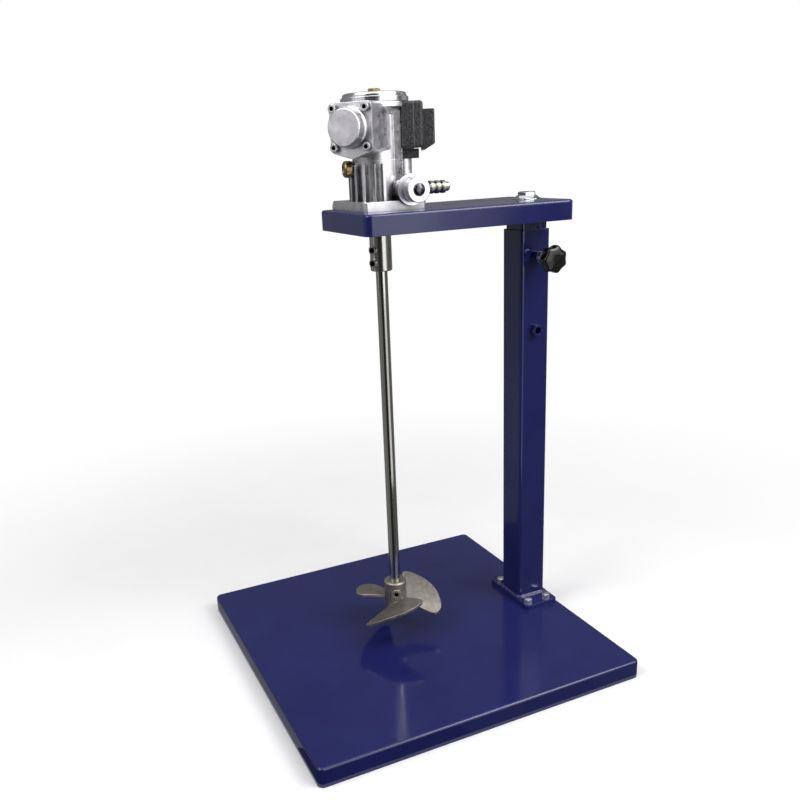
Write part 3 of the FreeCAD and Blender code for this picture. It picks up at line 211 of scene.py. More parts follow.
def hexagon_head(bm, flats, high, place):
    """A forged hexagon head on its own XY plane, with its corners turned off."""
    before = set(bm.verts)
    crown = flats * CROWN_SHARE

    def turned_off(co):
        return Vector((co.x, co.y, high - max(0, co.xy.length - crown) * math.tan(CORNER_SLOPE)))

    rim = bmesh.ops.create_circle(bm, cap_ends=True, segments=36, radius=1.0)["verts"]
    for vert in rim:
        vert.co = on_hexagon(vert.co, flats)
    ring = list(rim[0].link_faces[0].edges)
    ring = pull(bm, ring, turned_off)
    ring = pull(bm, ring, lambda co: Vector((*(co.xy.normalized() * crown), high)))
    bmesh.ops.edgeloop_fill(bm, edges=ring)
    made = [vert for vert in bm.verts if vert not in before]
    bmesh.ops.transform(bm, verts=made, matrix=place)


def hexagon_bolt(bm, flats, head, shank_r, seat, foot_z, turn, steps=32):
    """A hexagon bolt whose head sits on a point and whose shank reaches down to a height."""
    hexagon_head(bm, flats, head, Matrix.Translation(seat) @ Matrix.Rotation(turn, 4, "Z"))
    shank = bmesh.ops.create_cone(bm, cap_ends=True, segments=steps, radius1=shank_r,
                                  radius2=shank_r, depth=seat[2] - foot_z)["verts"]
    bmesh.ops.translate(bm, verts=shank, vec=(seat[0], seat[1], (seat[2] + foot_z) / 2))


# Zinc plate is a bluish silver with a slight cloud in it, softer than chrome.
zinc, tree, surface, where = start("zinc_plated_steel", metallic=1.0, roughness=0.3)
lay(tree, surface, shades(tree, where, 0.004, "b9bcc2", "dcdee2"),
    wander(tree, where, 0.002, low=0.22, high=0.38), relief(tree, where, 0.0008, high=0.00002))
bm = bmesh.new()
low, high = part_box("foot_bolts")
corner = FOOT_FLATS / math.sqrt(3)
for x in (low.x + FOOT_FLATS / 2, high.x - FOOT_FLATS / 2):
    for y in (low.y + corner, high.y - corner):
        hexagon_bolt(bm, FOOT_FLATS, FOOT_HEAD, FOOT_SHANK_R, (x, y, high.z - FOOT_HEAD), low.z,
                     POINT_UP, steps=20)
bolts = to_piece(bm, "foot_bolt_heads", zinc, "stand")
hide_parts("foot_bolts")
dress(zinc, "foot_nuts")

# Outer post and its weld nuts: drawn square steel tube, with two M8 hexagon nuts that are
# projection-welded over their holes. Post and nuts are coated together, so paint softens the
# corners of the nuts.
dress(coat, "outer_post", "clamp_nut", "spare_nut")

# Telescopic inner post: drawn square tube, coated like the rest, with faint vertical
# scuffs where it slides in the outer tube. Its top is plugged and tapped for the arm bolt.
# The scuffs are streaks about a millimetre across and four centimetres long.
SCUFF_STRETCH = (260, 260, 9)
mast, tree, surface, where = start("scuffed_powder_coat", metallic=0.0, roughness=0.2)
streaks = add(tree, "Mapping", {"Scale": SCUFF_STRETCH}, {"Vector": where}).outputs["Vector"]
lines = add(tree, "TexNoise", {"Scale": 3.0, "Detail": 3.0}, {"Vector": streaks})
worn = add(tree, "MapRange", {"From Min": 0.4, "From Max": 0.75, "To Min": 0.12, "To Max": 0.34},
           {"Value": lines.outputs["Fac"]})
lay(tree, surface, shades(tree, where, 0.05, COAT_DARK, COAT_LIGHT), worn.outputs["Result"],
    relief(tree, where, PEEL, PEEL_HIGH, detail=1.0))
dress(mast, "inner_post")
dress(zinc, "mast_plug")

# Star knob: phenolic moulding with seven lobes on a zinc-plated M8 stud. The moulding is
# gloss black, with soft lobes, a domed face and a neck that tapers to the ferrule.
LOBES, LOBE_DEPTH, LOBE_SHARP, KNOB_STEPS = 7, 0.13, 0.8, 84
KNOB_R = 0.016
low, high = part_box("star_knob")
KNOB_LONG = high.y - low.y
knob_foot = Vector(((low.x + high.x) / 2, high.y, (low.z + high.z) / 2))
to_knob = Matrix.Translation(knob_foot) @ Matrix.Rotation(math.pi / 2, 4, "X")

# Each ring has its share of the radius, its share of the length and how far its lobes stand.
KNOB_RINGS = ((0.40, 0.30, 0.0), (0.46, 0.33, 0.0), (0.62, 0.38, 0.2), (0.80, 0.44, 0.6),
              (0.93, 0.50, 0.9), (0.99, 0.57, 1.0), (1.00, 0.66, 1.0), (1.00, 0.80, 1.0),
              (0.98, 0.87, 1.0), (0.93, 0.92, 0.9), (0.82, 0.955, 0.6), (0.58, 0.98, 0.2),
              (0.28, 0.995, 0.0))


def lobed(share, up, lobe):
    """How a point of a round ring moves to the knob's outline at one height."""
    def move(co):
        angle = math.atan2(co.y, co.x)
        flute = (1 + math.cos(LOBES * angle)) / 2
        reach = KNOB_R * share * (1 - lobe * LOBE_DEPTH * flute ** LOBE_SHARP)
        return Vector((math.cos(angle) * reach, math.sin(angle) * reach, up * KNOB_LONG))
    return move


# Phenolic moulding is deep black, with a gloss that the mould leaves slightly uneven.
phenolic, tree, surface, where = start("black_phenolic", metallic=0.0, roughness=0.16)
lay(tree, surface, shades(tree, where, 0.006, "0b0b0c", "151516"),
    wander(tree, where, 0.004, low=0.12, high=0.24), relief(tree, where, 0.0012, high=0.000012))
bm = bmesh.new()
bmesh.ops.create_circle(bm, cap_ends=True, segments=KNOB_STEPS, radius=KNOB_R)
for vert in bm.verts:
    vert.co = lobed(*KNOB_RINGS[0])(vert.co)
ring = list(bm.edges)
for station in KNOB_RINGS[1:]:
    ring = pull(bm, ring, lobed(*station))
bmesh.ops.edgeloop_fill(bm, edges=ring)
bmesh.ops.transform(bm, verts=bm.verts, matrix=to_knob)
knob = to_piece(bm, "seven_lobe_knob", phenolic, "clamp", smooth_below=60)
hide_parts("star_knob")

# Ferrule and stud of the knob: a zinc-plated collar turned from bar and moulded into the
# knob's back, with a groove round its middle, and the M8 stud that it holds.
FERRULE = ((0.0, -0.006), (0.0044, -0.006), (0.0048, -0.0055), (0.0048, -0.001), (0.0042, 0.0),
           (0.0042, 0.001), (0.0050, 0.002), (0.0055, 0.0035), (0.0055, 0.0085), (0.0, 0.0085))


def lathe(bm, profile, place, steps=48):
    """Turn a profile of radii and heights all the way round its own Z axis."""
    before = set(bm.verts)
    points = [bm.verts.new((reach, 0, up)) for reach, up in profile]
    edges = [bm.edges.new(pair) for pair in zip(points, points[1:])]
    bmesh.ops.spin(bm, geom=points + edges, cent=(0, 0, 0), axis=(0, 0, 1),
                   angle=math.tau, steps=steps, use_merge=True)
    made = [vert for vert in bm.verts if vert not in before]
    bmesh.ops.remove_doubles(bm, verts=made, dist=1e-6)
    made = [vert for vert in bm.verts if vert not in before]
    bmesh.ops.transform(bm, verts=made, matrix=place)


bm = bmesh.new()
lathe(bm, FERRULE, to_knob)
to_piece(bm, "knob_ferrule", zinc, "clamp")
dress(zinc, "knob_stud")

# Arm tray: two-millimetre steel sheet, folded, welded and coated as the base is, upside down
# over the post's top. It carries the motor on its free end.
dress(coat, "arm_tray")

# Arm washer and bolt: a polished flared washer and a forged M12 hexagon bolt, both chromed,
# which hold the arm on the mast plug. The head beds slightly into the washer's mouth.
WASHER_HIGH, WASHER_BORE, BEDDED = 0.0040, 0.0062, 0.0002
WASHER = ((WASHER_BORE, 0.0), (0.0170, 0.0), (0.0170, 0.0006), (0.0152, 0.0012),
          (0.0132, 0.0023), (0.0120, 0.0034), (0.0113, WASHER_HIGH), (WASHER_BORE, WASHER_HIGH),
          (WASHER_BORE, 0.0))
ARM_FLATS, ARM_HEAD, ARM_SHANK_R, ARM_TURN = 0.019, 0.0042, 0.006, math.radians(20)

# Hard chrome mirrors its surroundings, with a slight haze from the polishing mop.
chrome, tree, surface, where = start("bright_chrome_plate", metallic=1.0, roughness=0.08)
lay(tree, surface, shades(tree, where, 0.01, "c9ccd0", "e2e4e8"),
    wander(tree, where, 0.003, low=0.05, high=0.14), relief(tree, where, 0.004, high=0.00001))
low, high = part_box("cone_washer")
washer_at = Vector(((low.x + high.x) / 2, (low.y + high.y) / 2, low.z))
bm = bmesh.new()
lathe(bm, WASHER, Matrix.Translation(washer_at), steps=64)
skirt = to_piece(bm, "flared_washer", chrome, "head")
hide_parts("cone_washer")
low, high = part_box("arm_bolt")
bm = bmesh.new()
hexagon_bolt(bm, ARM_FLATS, ARM_HEAD, ARM_SHANK_R, washer_at + Vector((0, 0, WASHER_HIGH - BEDDED)),
             low.z, ARM_TURN)
bolt = to_piece(bm, "arm_bolt_forged", chrome, "head")
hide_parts("arm_bolt")

# Motor castings: gravity-cast aluminium, shot-blasted and left bare, with the flange, the
# heads' joint faces and the exhaust flat milled. Zinc-plated bolts hold them on the arm.
CAST_GREY, CAST_SILVER, CAST_EDGE_HIGHLIGHT, CAST_SHADE = "cdcbd0", "eceaee", "fafafb", "3c3b3e"
SHADE_REACH, GRIT, GRIT_HIGH = 0.022, 0.0009, 0.00006


def edge_highlight_and_wear(tree, skin, code, width):
    """A painted edge highlight with some wear: a colour that turns to a hex value along edges, over
    about a width in metres.
    """
    edge = add(tree, "Bevel", {"Radius": width}, samples=6).outputs["Normal"]
    flat = add(tree, "NewGeometry").outputs["Normal"]
    match = add(tree, "VectorMath", links={0: edge, 1: flat}, operation="DOT_PRODUCT")
    edge_sheen_and_wear = add(tree, "MapRange", {"From Min": 0.995, "From Max": 0.86},
               {"Value": match.outputs["Value"]}).outputs["Result"]
    return add(tree, "Mix", {7: colour(code)}, {0: edge_sheen_and_wear, 6: skin}, data_type="RGBA").outputs[2]


# The blasted skin is silver and finely pebbled, with a painted highlight and some wear along the
# edges, and painted shade that darkens it in the corners and recesses. Its grit is drawn about a
# millimetre across, to show.
cast, tree, surface, where = start("shot_blasted_cast_aluminium", metallic=1.0, roughness=0.42)
# Painted highlight with some wear: the skin turns near white along every edge.
skin = edge_highlight_and_wear(tree, shades(tree, where, 0.012, CAST_GREY, CAST_SILVER), CAST_EDGE_HIGHLIGHT, width=0.0008)
# Painted shade: the skin turns towards a dark grey in the corners and recesses that ambient
# occlusion finds.
open_air = add(tree, "AmbientOcclusion", {"Distance": SHADE_REACH}, samples=8).outputs["AO"]
painted_shade = add(tree, "MapRange", {"From Min": 0.68, "From Max": 0.22, "To Max": 0.85},
            {"Value": open_air}).outputs["Result"]
shaded_skin = add(tree, "Mix", {7: colour(CAST_SHADE)}, {0: painted_shade, 6: skin}, data_type="RGBA")
lay(tree, surface, shaded_skin.outputs[2], wander(tree, where, 0.006, low=0.27, high=0.43),
    relief(tree, where, GRIT, GRIT_HIGH, detail=3.0, soft_edge=0.0009))
dress(cast, "lower_housing", "crankcase", "head_cover_front", "head_cover_rear")
dress(zinc, "motor_bolts")

# Top cap: a stepped cover turned from aluminium bar, which closes the crankcase. The bearing
# spacer and the pistons inside are turned from the same metal, and all lathe work here shows
# fine rings.
low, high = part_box("top_cap")
MOTOR_X = (low.x + high.x) / 2
TOOL_PITCH, TOOL_DEEP, TOOL_EDGE = 0.0008, 0.000002, 0.0003


def lathe_lines(tree, where, centre, tilt):
    """Place for a noise that is even round an axis and fine along and across it."""
    local = add(tree, "Mapping", {"Location": centre, "Rotation": tilt}, {"Vector": where},
                vector_type="TEXTURE").outputs["Vector"]
    split = add(tree, "SeparateXYZ", links={"Vector": local}).outputs
    flat = add(tree, "CombineXYZ", links={"X": split["X"], "Y": split["Y"]}).outputs["Vector"]
    reach = add(tree, "VectorMath", links={0: flat}, operation="LENGTH").outputs["Value"]
    across = add(tree, "CombineXYZ", links={"X": reach, "Z": split["Z"]}).outputs["Vector"]
    return add(tree, "VectorMath", {1: (1 / TOOL_PITCH,) * 3}, {0: across},
               operation="MULTIPLY").outputs["Vector"]


def turned_metal(name, dark, light, roughness, centre=(MOTOR_X, 0, 0), tilt=(0, 0, 0)):
    """A turned metal, with rings of tool marks round an axis, such as the motor's."""
    material, tree, surface, where = start(name, 1.0, roughness)
    rings = add(tree, "TexNoise", {"Scale": 1.0, "Detail": 2.0},
                {"Vector": lathe_lines(tree, where, centre, tilt)}).outputs["Fac"]
    tone = add(tree, "Mix", {6: colour(dark), 7: colour(light)}, {0: rings},
               data_type="RGBA").outputs[2]
    dull = add(tree, "MapRange", {"To Min": roughness * 0.7, "To Max": roughness * 1.4},
               {"Value": rings}).outputs["Result"]
    lay(tree, surface, tone, dull, on_edges(tree, rings, TOOL_DEEP, TOOL_EDGE))
    return material


# Turned aluminium is a bright, slightly cool silver. The rings are drawn 0.8 mm apart, wider
# than the real feed marks, so that they show.
cap = turned_metal("turned_aluminium_cap", "c4c5c9", "ebebee", roughness=0.2)
dress(cap, "top_cap", "bearing_spacer", "piston_front", "piston_rear", "piston_side")

# Running gear: bearings, crank, rods, pins and valve of hardened bearing steel, ground all
# over, in liners of honed cast iron, which are darker and duller.
steel = turned_metal("ground_bearing_steel", "a9abb0", "d2d4d8", roughness=0.16)
dress(steel, "lower_bearing", "upper_bearing", "crankshaft", "crank_roller", "rotary_valve",
      "port_plate", "gudgeon_pin_front", "gudgeon_pin_rear", "gudgeon_pin_side",
      "connecting_rod_front", "connecting_rod_rear", "connecting_rod_side")
iron = turned_metal("honed_cast_iron", "55565a", "7d7f84", roughness=0.3)
dress(iron, "cylinder_liner_front", "cylinder_liner_rear", "cylinder_liner_side")

# Gaskets and seal: punched fibre board between each head cover and its cylinder block, whose
# matt brown edge shows as a dark line, and a moulded nitrile lip seal round the output shaft.
board, tree, surface, where = start("fibre_gasket_board", metallic=0.0, roughness=0.85)
lay(tree, surface, shades(tree, where, 0.0015, "2a2724", "4a443c"),
    bumps=relief(tree, where, 0.0006, high=0.00005))
dress(board, "head_gasket_front", "head_gasket_rear")

# Nitrile is a soft, even black with almost no shine.
nitrile, tree, surface, where = start("nitrile_rubber", metallic=0.0, roughness=0.6)
lay(tree, surface, shades(tree, where, 0.003, "101011", "1b1b1c"),
    bumps=relief(tree, where, 0.0007, high=0.00003))
dress(nitrile, "shaft_seal")

# Head screws: M5 socket screws of alloy steel, four to each head. The turned heads are bright,
# and the sockets stay black from the heat treatment.
HEAD_R, HEAD_HIGH, THREAD_R, THREAD_LONG = 0.0043, 0.0045, 0.0025, 0.012
HEAD_SOCKET, HEAD_DEEP, HALF_PITCH, RIM_SHARE = 0.0042, 0.003, 0.0185, 0.1
FRONT_ANGLE, REAR_ANGLE, COVER_FACE, CYLINDER_Z = 217.7, 97.7, 0.053, 0.619


def socket_screw(bm, head_r, head_high, shank_r, shank_long, flats, deep, place):
    """A socket screw on its own Z axis, whose hexagon socket has the second material."""
    before, edge = set(bm.verts), head_r * RIM_SHARE
    bmesh.ops.create_circle(bm, segments=36, radius=shank_r)
    rim = [vert for vert in bm.verts if vert not in before]
    bmesh.ops.translate(bm, verts=rim, vec=(0, 0, -shank_long))
    ring = list({item for vert in rim for item in vert.link_edges})
    bmesh.ops.edgeloop_fill(bm, edges=ring)
    for reach, up in ((shank_r, 0.0), (head_r, 0.0), (head_r, head_high - edge),
                      (head_r - edge, head_high)):
        ring = pull(bm, ring, lambda co: Vector((*(co.xy.normalized() * reach), up)))
    ring = pull(bm, ring, lambda co: on_hexagon(co, flats))
    known = set(bm.faces)
    ring = pull(bm, ring, lambda co: co - Vector((0, 0, deep)))
    bmesh.ops.edgeloop_fill(bm, edges=ring)
    for face in bm.faces:
        if face not in known:
            face.material_index = 1
    made = [vert for vert in bm.verts if vert not in before]
    bmesh.ops.transform(bm, verts=made, matrix=place)


def radial(angle, distance, height, side=0.0, up=0.0):
    """A place whose Z axis points out from the motor's axis, beside or above a height."""
    return (Matrix.Translation((MOTOR_X, 0, height)) @ Matrix.Rotation(math.radians(angle), 4, "Z")
            @ Matrix.Translation((distance, side, up)) @ Matrix.Rotation(math.pi / 2, 4, "Y"))


# Turned alloy steel is a clean silver with small dull spots.
alloy, tree, surface, where = start("bright_turned_alloy_steel", metallic=1.0, roughness=0.3)
lay(tree, surface, shades(tree, where, 0.002, "a9aaae", "dcdde0"),
    wander(tree, where, 0.0015, low=0.22, high=0.4), relief(tree, where, 0.0006, high=0.00003))

# Heat-blacked steel is nearly black and takes only a dull sheen.
blacked, tree, surface, where = start("heat_blacked_steel", metallic=1.0, roughness=0.5)
lay(tree, surface, shades(tree, where, 0.001, "050506", "141416"),
    bumps=relief(tree, where, 0.0005, high=0.00003))
for side, angle in (("front", FRONT_ANGLE), ("rear", REAR_ANGLE)):
    bm = bmesh.new()
    for across in (-HALF_PITCH, HALF_PITCH):
        for up in (-HALF_PITCH, HALF_PITCH):
            socket_screw(bm, HEAD_R, HEAD_HIGH, THREAD_R, THREAD_LONG, HEAD_SOCKET, HEAD_DEEP,
                         radial(angle, COVER_FACE, CYLINDER_Z, across, up))
    screws = to_piece(bm, "cap_screws_" + side, alloy, "head")
    screws.data.materials.append(blacked)
    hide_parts("head_screws_" + side)

# Oil plug: hexagon brass bar, turned down to a thread and screwed into the top cap to fill
# the crankcase. The throttle's spindle is of the same brass.
OIL_FLATS, OIL_HEAD, OIL_SHANK_R = 0.012, 0.0045, 0.004

# Brass that oil has darkened in patches is a dull straw brown with a soft shine.
brass, tree, surface, where = start("oily_turned_brass", metallic=1.0, roughness=0.3)
lay(tree, surface, shades(tree, where, 0.004, "5f5336", "a8986a"),
    wander(tree, where, 0.002, low=0.22, high=0.42), relief(tree, where, 0.0008, high=0.00003))
low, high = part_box("oil_plug")
bm = bmesh.new()
hexagon_bolt(bm, OIL_FLATS, OIL_HEAD, OIL_SHANK_R,
             ((low.x + high.x) / 2, (low.y + high.y) / 2, high.z - OIL_HEAD), low.z, POINT_UP)
plug = to_piece(bm, "oil_plug_forged", brass, "head")
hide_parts("oil_plug")
dress(brass, "throttle_spindle")

# Sight plug: a turned brass ring screwed into the side of the housing. A domed glass is
# pressed into its dished face, with dark oil behind it.
SIGHT_ANGLE, SIGHT_OUT, SIGHT_DISH = 172, 0.037, 0.0015
GLASS_R, GLASS_HIGH, GLASS_PROUD = 0.0046, 0.0011, 0.0002

# The oil shows through the glass as amber brown, under a clear gloss.
oiled, tree, surface, where = start("oily_sight_glass", metallic=0.0, roughness=0.04)
lay(tree, surface, shades(tree, where, 0.003, "2a1c0c", "5a3f18"))
surface.inputs["Coat Weight"].default_value = 1.0
surface.inputs["Coat Roughness"].default_value = 0.02
low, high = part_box("sight_plug")
bm = bmesh.new()
bmesh.ops.create_uvsphere(bm, u_segments=32, v_segments=16, radius=GLASS_R)
bmesh.ops.scale(bm, verts=bm.verts, vec=(1, 1, GLASS_HIGH / GLASS_R))
bmesh.ops.transform(bm, verts=bm.verts, matrix=radial(
    SIGHT_ANGLE, SIGHT_OUT - SIGHT_DISH + GLASS_PROUD, (low.z + high.z) / 2))
to_piece(bm, "sight_glass", oiled, "head", smooth_below=80)
dress(brass, "sight_plug")

# Exhaust: the cast aluminium block that holds the third cylinder, and its cover with a scoop
# that opens downwards, both under thick wrinkle paint.
WRINKLE, WRINKLE_HIGH = 0.0018, 0.0006

# Wrinkle paint is near black, with a pebble of one to two millimetres that catches the light, and a
# painted grey highlight with some wear along the edges.
wrinkle, tree, surface, where = start("black_wrinkle_paint", metallic=0.0, roughness=0.42)
skin = shades(tree, where, 0.0025, "0b0b0d", "424246")
# Painted highlight with some wear: the paint turns grey along every edge.
lay(tree, surface, edge_highlight_and_wear(tree, skin, "8c8c8e", width=0.0007),
    wander(tree, where, 0.0015, low=0.3, high=0.55),
    relief(tree, where, WRINKLE, WRINKLE_HIGH, detail=1.5, soft_edge=0.0012))
dress(wrinkle, "exhaust_block", "exhaust_cover")

# Silencer foam: open-cell plastic foam, cut to fill the scoop. Its pores of about a
# millimetre are black holes in a dark grey net.
PORE, PORE_DEEP = 0.0012, 0.0003
foam, tree, surface, where = start("open_cell_foam", metallic=0.0, roughness=0.95)
cells = add(tree, "TexVoronoi", {"Scale": 1 / PORE}, {"Vector": where}).outputs["Distance"]
pores = add(tree, "Mix", {6: colour("08080a"), 7: colour("2c2c30")}, {0: cells},
            data_type="RGBA").outputs[2]
sunk = add(tree, "Bump", {"Strength": 1.0, "Distance": PORE_DEEP}, {"Height": cells})
lay(tree, surface, pores, bumps=sunk.outputs["Normal"])
dress(foam, "silencer_foam")

# Air inlet: a ribbed hose nipple with a hexagon, turned and nickel-plated, screwed into the
# inlet boss of the housing. Worn nickel is a warm grey that has lost most of its mirror.
nickel, tree, surface, where = start("dull_nickel_plate", metallic=1.0, roughness=0.24)
lay(tree, surface, shades(tree, where, 0.003, "7f7f77", "aeaea4"),
    wander(tree, where, 0.002, low=0.18, high=0.32), relief(tree, where, 0.001, high=0.00001))
dress(nickel, "air_nipple")

# Throttle: a turned aluminium grip on a bonnet in the front of the housing, which opens the
# air by turning. Its outer face is dished and faced bright.
GRIP_R, GRIP_BACK_R, GRIP_LONG, GRIP_DISH = 0.0128, 0.0106, 0.0130, 0.0005
GRIP = ((0.0, 0.0), (GRIP_BACK_R, 0.0), (GRIP_BACK_R, 0.0018), (0.0120, 0.0022), (GRIP_R, 0.0030),
        (GRIP_R, 0.0124), (0.0122, GRIP_LONG), (0.0068, GRIP_LONG),
        (0.0064, GRIP_LONG - GRIP_DISH), (0.0, GRIP_LONG - GRIP_DISH))
ALONG_Y = (math.pi / 2, 0, 0)
low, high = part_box("throttle_knob")
throttle_at = (low + high) / 2
to_grip = Matrix.Translation((throttle_at.x, high.y, throttle_at.z)) @ Matrix.Rotation(
    math.pi / 2, 4, "X")

# Faced aluminium is nearly white, with rings round the throttle's own axis.
faced = turned_metal("faced_aluminium", "cfd0d4", "f2f2f4", roughness=0.3,
                     centre=tuple(throttle_at), tilt=ALONG_Y)
bm = bmesh.new()
lathe(bm, GRIP, to_grip, steps=72)
grip = to_piece(bm, "throttle_grip", faced, "throttle")
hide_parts("throttle_knob")
dress(faced, "throttle_bonnet")

# Button of the throttle: a dome under smoked chrome, pressed into the middle of the grip. It
# mirrors the room as darkly as tinted glass does.
smoked, tree, surface, where = start("smoked_chrome", metallic=1.0, roughness=0.1)
lay(tree, surface, shades(tree, where, 0.002, "3a3b3e", "6a6c70"),
    wander(tree, where, 0.001, low=0.06, high=0.16))
dress(smoked, "knob_button")

# Coupling: a turned stainless sleeve that joins the motor's output shaft to the stirrer
# shaft, drilled for two M6 grub screws that stand in shallow bosses.
GRUB_ANGLE, GRUB_TIP, GRUB_R, GRUB_LONG = 200, 0.0145, 0.003, 0.006
GRUB_EDGE, GRUB_SOCKET, GRUB_DEEP = 0.0003, 0.0032, 0.0025

# Turned stainless is a warmer, darker silver than the aluminium above it.
sleeve = turned_metal("turned_stainless", "9f9d99", "c9c7c1", roughness=0.2)
dress(sleeve, "coupling")
low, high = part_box("coupling_screws")
bm = bmesh.new()
for height in (low.z + GRUB_R, high.z - GRUB_R):
    socket_screw(bm, GRUB_R, GRUB_EDGE, GRUB_R, GRUB_LONG, GRUB_SOCKET, GRUB_DEEP,
                 radial(GRUB_ANGLE, GRUB_TIP - GRUB_EDGE, height))
grubs = to_piece(bm, "coupling_grub_screws", blacked, "rotor")
grubs.data.materials.append(blacked)
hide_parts("coupling_screws")

# Stirrer shaft: centreless-ground stainless bar, polished, so it mirrors the room in long
# dark and light bands, with hair-fine grinding rings.
bar = turned_metal("polished_stainless_bar", "a5a39d", "cfcdc7", roughness=0.11)
dress(bar, "stirrer_shaft")

# Impeller: investment-cast stainless, three cambered blades on a hub, tumbled to a satin skin that
# is warm grey, with a painted brighter highlight and some wear along the edges.
satin, tree, surface, where = start("tumbled_cast_stainless", metallic=1.0, roughness=0.5)
skin = shades(tree, where, 0.006, "827d77", "a09b94")
# Painted highlight with some wear: the skin turns a lighter grey along every edge.
lay(tree, surface, edge_highlight_and_wear(tree, skin, "bdb8b0", width=0.0008),
    wander(tree, where, 0.005, low=0.42, high=0.58),
    relief(tree, where, 0.0012, high=0.00005, detail=3.0, soft_edge=0.0012))
dress(satin, "impeller")

# Hub screw: an M6 grub screw of blacked steel, sunk in a cross hole of the hub, which grips
# the shaft.
HUB_ANGLE, HUB_TIP, HUB_SCREW_R, HUB_SCREW_LONG, HUB_SOCKET = 249, 0.0134, 0.003, 0.0065, 0.0042
low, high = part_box("impeller_screw")
bm = bmesh.new()
socket_screw(bm, HUB_SCREW_R, GRUB_EDGE, HUB_SCREW_R, HUB_SCREW_LONG, HUB_SOCKET, GRUB_DEEP,
             radial(HUB_ANGLE, HUB_TIP - GRUB_EDGE, (low.z + high.z) / 2))
grub = to_piece(bm, "hub_grub_screw", blacked, "rotor")
grub.data.materials.append(blacked)
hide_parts("impeller_screw")

# Studio floor: matt white paper under the tool, which keeps its shadow and runs out into pure
# white. The light it bounces onto the underside of the tool is a fixed, dim glow, not lit paper.
FLOOR_HALF, FLOOR_DROP, FADE_FROM, FADE_TO, FLOOR_BOUNCE = 6.0, 0.0002, 0.3, 1.1, 0.3
WHITE = (1, 1, 1, 1)


def any_ray(tree, seen, *kinds):
    """A number that is 1 for a ray of any of these kinds, and 0 for the rest."""
    found = seen[kinds[0]]
    for kind in kinds[1:]:
        found = add(tree, "Math", links={0: found, 1: seen[kind]}, operation="MAXIMUM").outputs[0]
    return found


# Matt paper is a soft, even white with no gloss.
paper, tree, surface, where = start("matt_white_paper", metallic=0.0, roughness=0.9)
lay(tree, surface, shades(tree, where, 0.3, "f4f4f5", "fafafb"))
reach = add(tree, "VectorMath", links={0: where}, operation="LENGTH").outputs["Value"]
fade = add(tree, "MapRange", {"From Min": FADE_FROM, "From Max": FADE_TO}, {"Value": reach},
           interpolation_type="SMOOTHSTEP").outputs["Result"]
seen = add(tree, "LightPath").outputs
straight = any_ray(tree, seen, "Is Camera Ray", "Is Glossy Ray")
lit = add(tree, "Math", links={0: fade, 1: straight}, operation="MULTIPLY").outputs["Value"]
white = add(tree, "Emission", {"Color": WHITE, "Strength": 1.0}).outputs["Emission"]
fading = add(tree, "MixShader", links={0: lit, 1: surface.outputs["BSDF"], 2: white})
# For light bounced onto the tool, the paper glows an even dim grey.
bounce = add(tree, "Emission", {"Color": WHITE, "Strength": FLOOR_BOUNCE}).outputs["Emission"]
held = add(tree, "MixShader", links={0: seen["Is Diffuse Ray"], 1: fading.outputs["Shader"],
                                     2: bounce})
tree.links.new(held.outputs["Shader"], tree.nodes["Material Output"].inputs["Surface"])
bm = bmesh.new()
bmesh.ops.create_grid(bm, x_segments=8, y_segments=8, size=FLOOR_HALF)
bmesh.ops.translate(bm, verts=bm.verts, vec=(0, 0, -FLOOR_DROP))
to_object(bm, "studio_floor", paper)

# Studio air: white wherever the camera or a mirror looks past the floor, and a plain grey
# fill for everything that it lights.
FILL = 0.42
world = bpy.data.worlds.new("studio")
bpy.context.scene.world = world
world.use_nodes = True
tree = world.node_tree
background = tree.nodes["Background"]
seen = add(tree, "LightPath").outputs
straight = any_ray(tree, seen, "Is Camera Ray", "Is Glossy Ray", "Is Transmission Ray")
level = add(tree, "MapRange", {"To Min": FILL, "To Max": 1.0}, {"Value": straight})
background.inputs["Color"].default_value = WHITE
tree.links.new(level.outputs["Result"], background.inputs["Strength"])

# Studio lamps: soft boxes round the tool, aimed at its middle. The window stands to the right
# of the camera, with a key light beside it, one on the left and one overhead.
AIM = Vector((0, 0, 0.35))


def lamp(name, azimuth, distance, height, wide, tall, watts):
    """A soft area light that looks at the middle of the tool from an azimuth."""
    data = bpy.data.lights.new(name, "AREA")
    data.shape = "RECTANGLE"
    data.size, data.size_y, data.energy = wide, tall, watts
    made = bpy.data.objects.new(name, data)
    bpy.context.scene.collection.objects.link(made)
    turn = math.radians(azimuth)
    at = Vector((math.cos(turn) * distance, math.sin(turn) * distance, height))
    made.location = at
    made.rotation_euler = (AIM - at).to_track_quat("-Z", "Y").to_euler()
    made.visible_camera = False


lamp("window", azimuth=282, distance=1.7, height=1.2, wide=1.24, tall=2.5, watts=10.5)
lamp("key_light", azimuth=314, distance=1.4, height=1.55, wide=1.0, tall=1.0, watts=19)
lamp("left_light", azimuth=188, distance=1.3, height=1.65, wide=0.9, tall=0.9, watts=14)
lamp("top_light", azimuth=250, distance=0.5, height=2.1, wide=1.2, tall=1.2, watts=5)

# Studio cards: grey sweeps round the tool that only reflections see, as a photographer flags
# bright metal. Each has an outline of distances and heights from the foot of the tool up.
CARD_LOW, CARD_TOP = 0.004, 3.2
CARD_NEAR = (0.2, CARD_LOW)
SWEEP = (CARD_NEAR, (1.3, CARD_LOW), (2.0, 0.25), (2.5, 1.0), (2.6, CARD_TOP))
LOWER = (CARD_NEAR, (1.3, CARD_LOW), (2.0, 0.25), (2.5, 0.52))
APRON = (CARD_NEAR, (1.7, CARD_LOW), (2.3, 0.1))
DOORMAT = (CARD_NEAR, (0.55, CARD_LOW))
STRIP = ((2.3, 0.1), (2.5, 0.52))
SLIT = ((2.35, 0.45), (2.4, 0.76))
UPPER = ((2.5, 0.52), (2.6, CARD_TOP))
HIGHER = ((2.5, 0.55), (2.6, CARD_TOP))


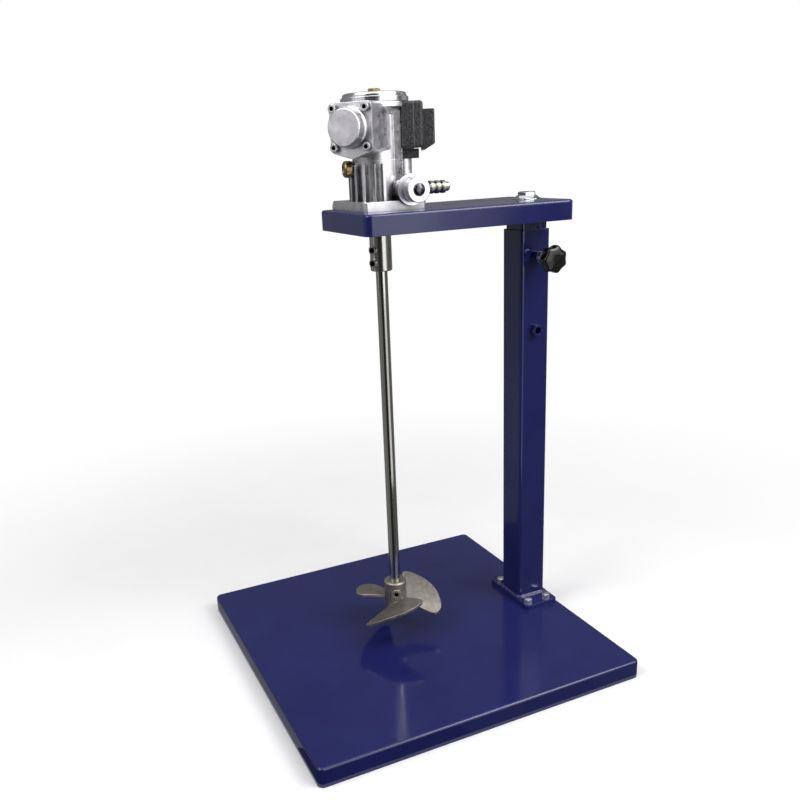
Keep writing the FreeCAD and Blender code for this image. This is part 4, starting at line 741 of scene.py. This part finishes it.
def card(name, start_at, end_at, grey, profile):
    """A card of one grey between two azimuths."""
    material, tree, surface, where = start(name, 0.0, 1.0)
    glow = add(tree, "Emission", {"Strength": grey})
    tree.links.new(shades(tree, where, 0.8, "e8e8ea", "ffffff"), glow.inputs["Color"])
    tree.links.new(glow.outputs["Emission"], tree.nodes["Material Output"].inputs["Surface"])
    bm = bmesh.new()
    first, span = math.radians(start_at), math.radians(end_at - start_at)
    points = [bm.verts.new((math.cos(first) * reach, math.sin(first) * reach, up))
              for reach, up in profile]
    edges = [bm.edges.new(pair) for pair in zip(points, points[1:])]
    bmesh.ops.spin(bm, geom=points + edges, cent=(0, 0, 0), axis=(0, 0, 1), angle=span, steps=16)
    made = to_object(bm, name, material)
    made.visible_camera = False
    made.visible_diffuse = False
    made.visible_shadow = False


card("back_card", 20, 108, 0.22, SWEEP)
card("far_left_card", 108, 168, 0.27, SWEEP)
card("left_apron", 168, 214, 0.24, APRON)
card("left_strip", 174, 214, 0.05, STRIP)
card("left_card", 168, 214, 0.9, UPPER)
card("room_behind_camera", 214, 262, 0.03, SWEEP)
card("window_apron", 262, 304, 0.1, DOORMAT)
card("right_apron", 304, 350, 0.15, LOWER)
card("right_card", 299, 326, 1.9, HIGHER)
card("right_shade", 326, 350, 0.1, HIGHER)
card("back_slit", 20, 108, 0.5, SLIT)
card("far_right_card", 350, 380, 0.42, SWEEP)

# Camera: at the photograph's viewing angle, about a metre from the tool. Its place, turn and
# lens were fitted to the straight edges of the base, the arm, the post and the shaft.
LENS, SENSOR, NEAREST, SHIFT_X, SHIFT_Y = 37.93, 36.0, 0.05, 0.0299, 0.0417
YAW, PITCH, ROLL = math.radians(23.767), math.radians(18.168), math.radians(-2.761)
CAMERA_AT = (-0.40818, -0.85296, 0.59058)
data = bpy.data.cameras.new("camera")
data.lens, data.sensor_width, data.clip_start = LENS, SENSOR, NEAREST
data.shift_x, data.shift_y = SHIFT_X, SHIFT_Y
camera = bpy.data.objects.new("camera", data)
bpy.context.scene.collection.objects.link(camera)
ahead = Vector((math.cos(PITCH) * math.sin(YAW), math.cos(PITCH) * math.cos(YAW), -math.sin(PITCH)))
upright = ahead.to_track_quat("-Z", "Y")
camera.rotation_euler = (upright @ Quaternion((0, 0, 1), ROLL)).to_euler()
camera.location = CAMERA_AT
bpy.context.scene.camera = camera
bpy.context.scene.view_settings.view_transform = "Standard"
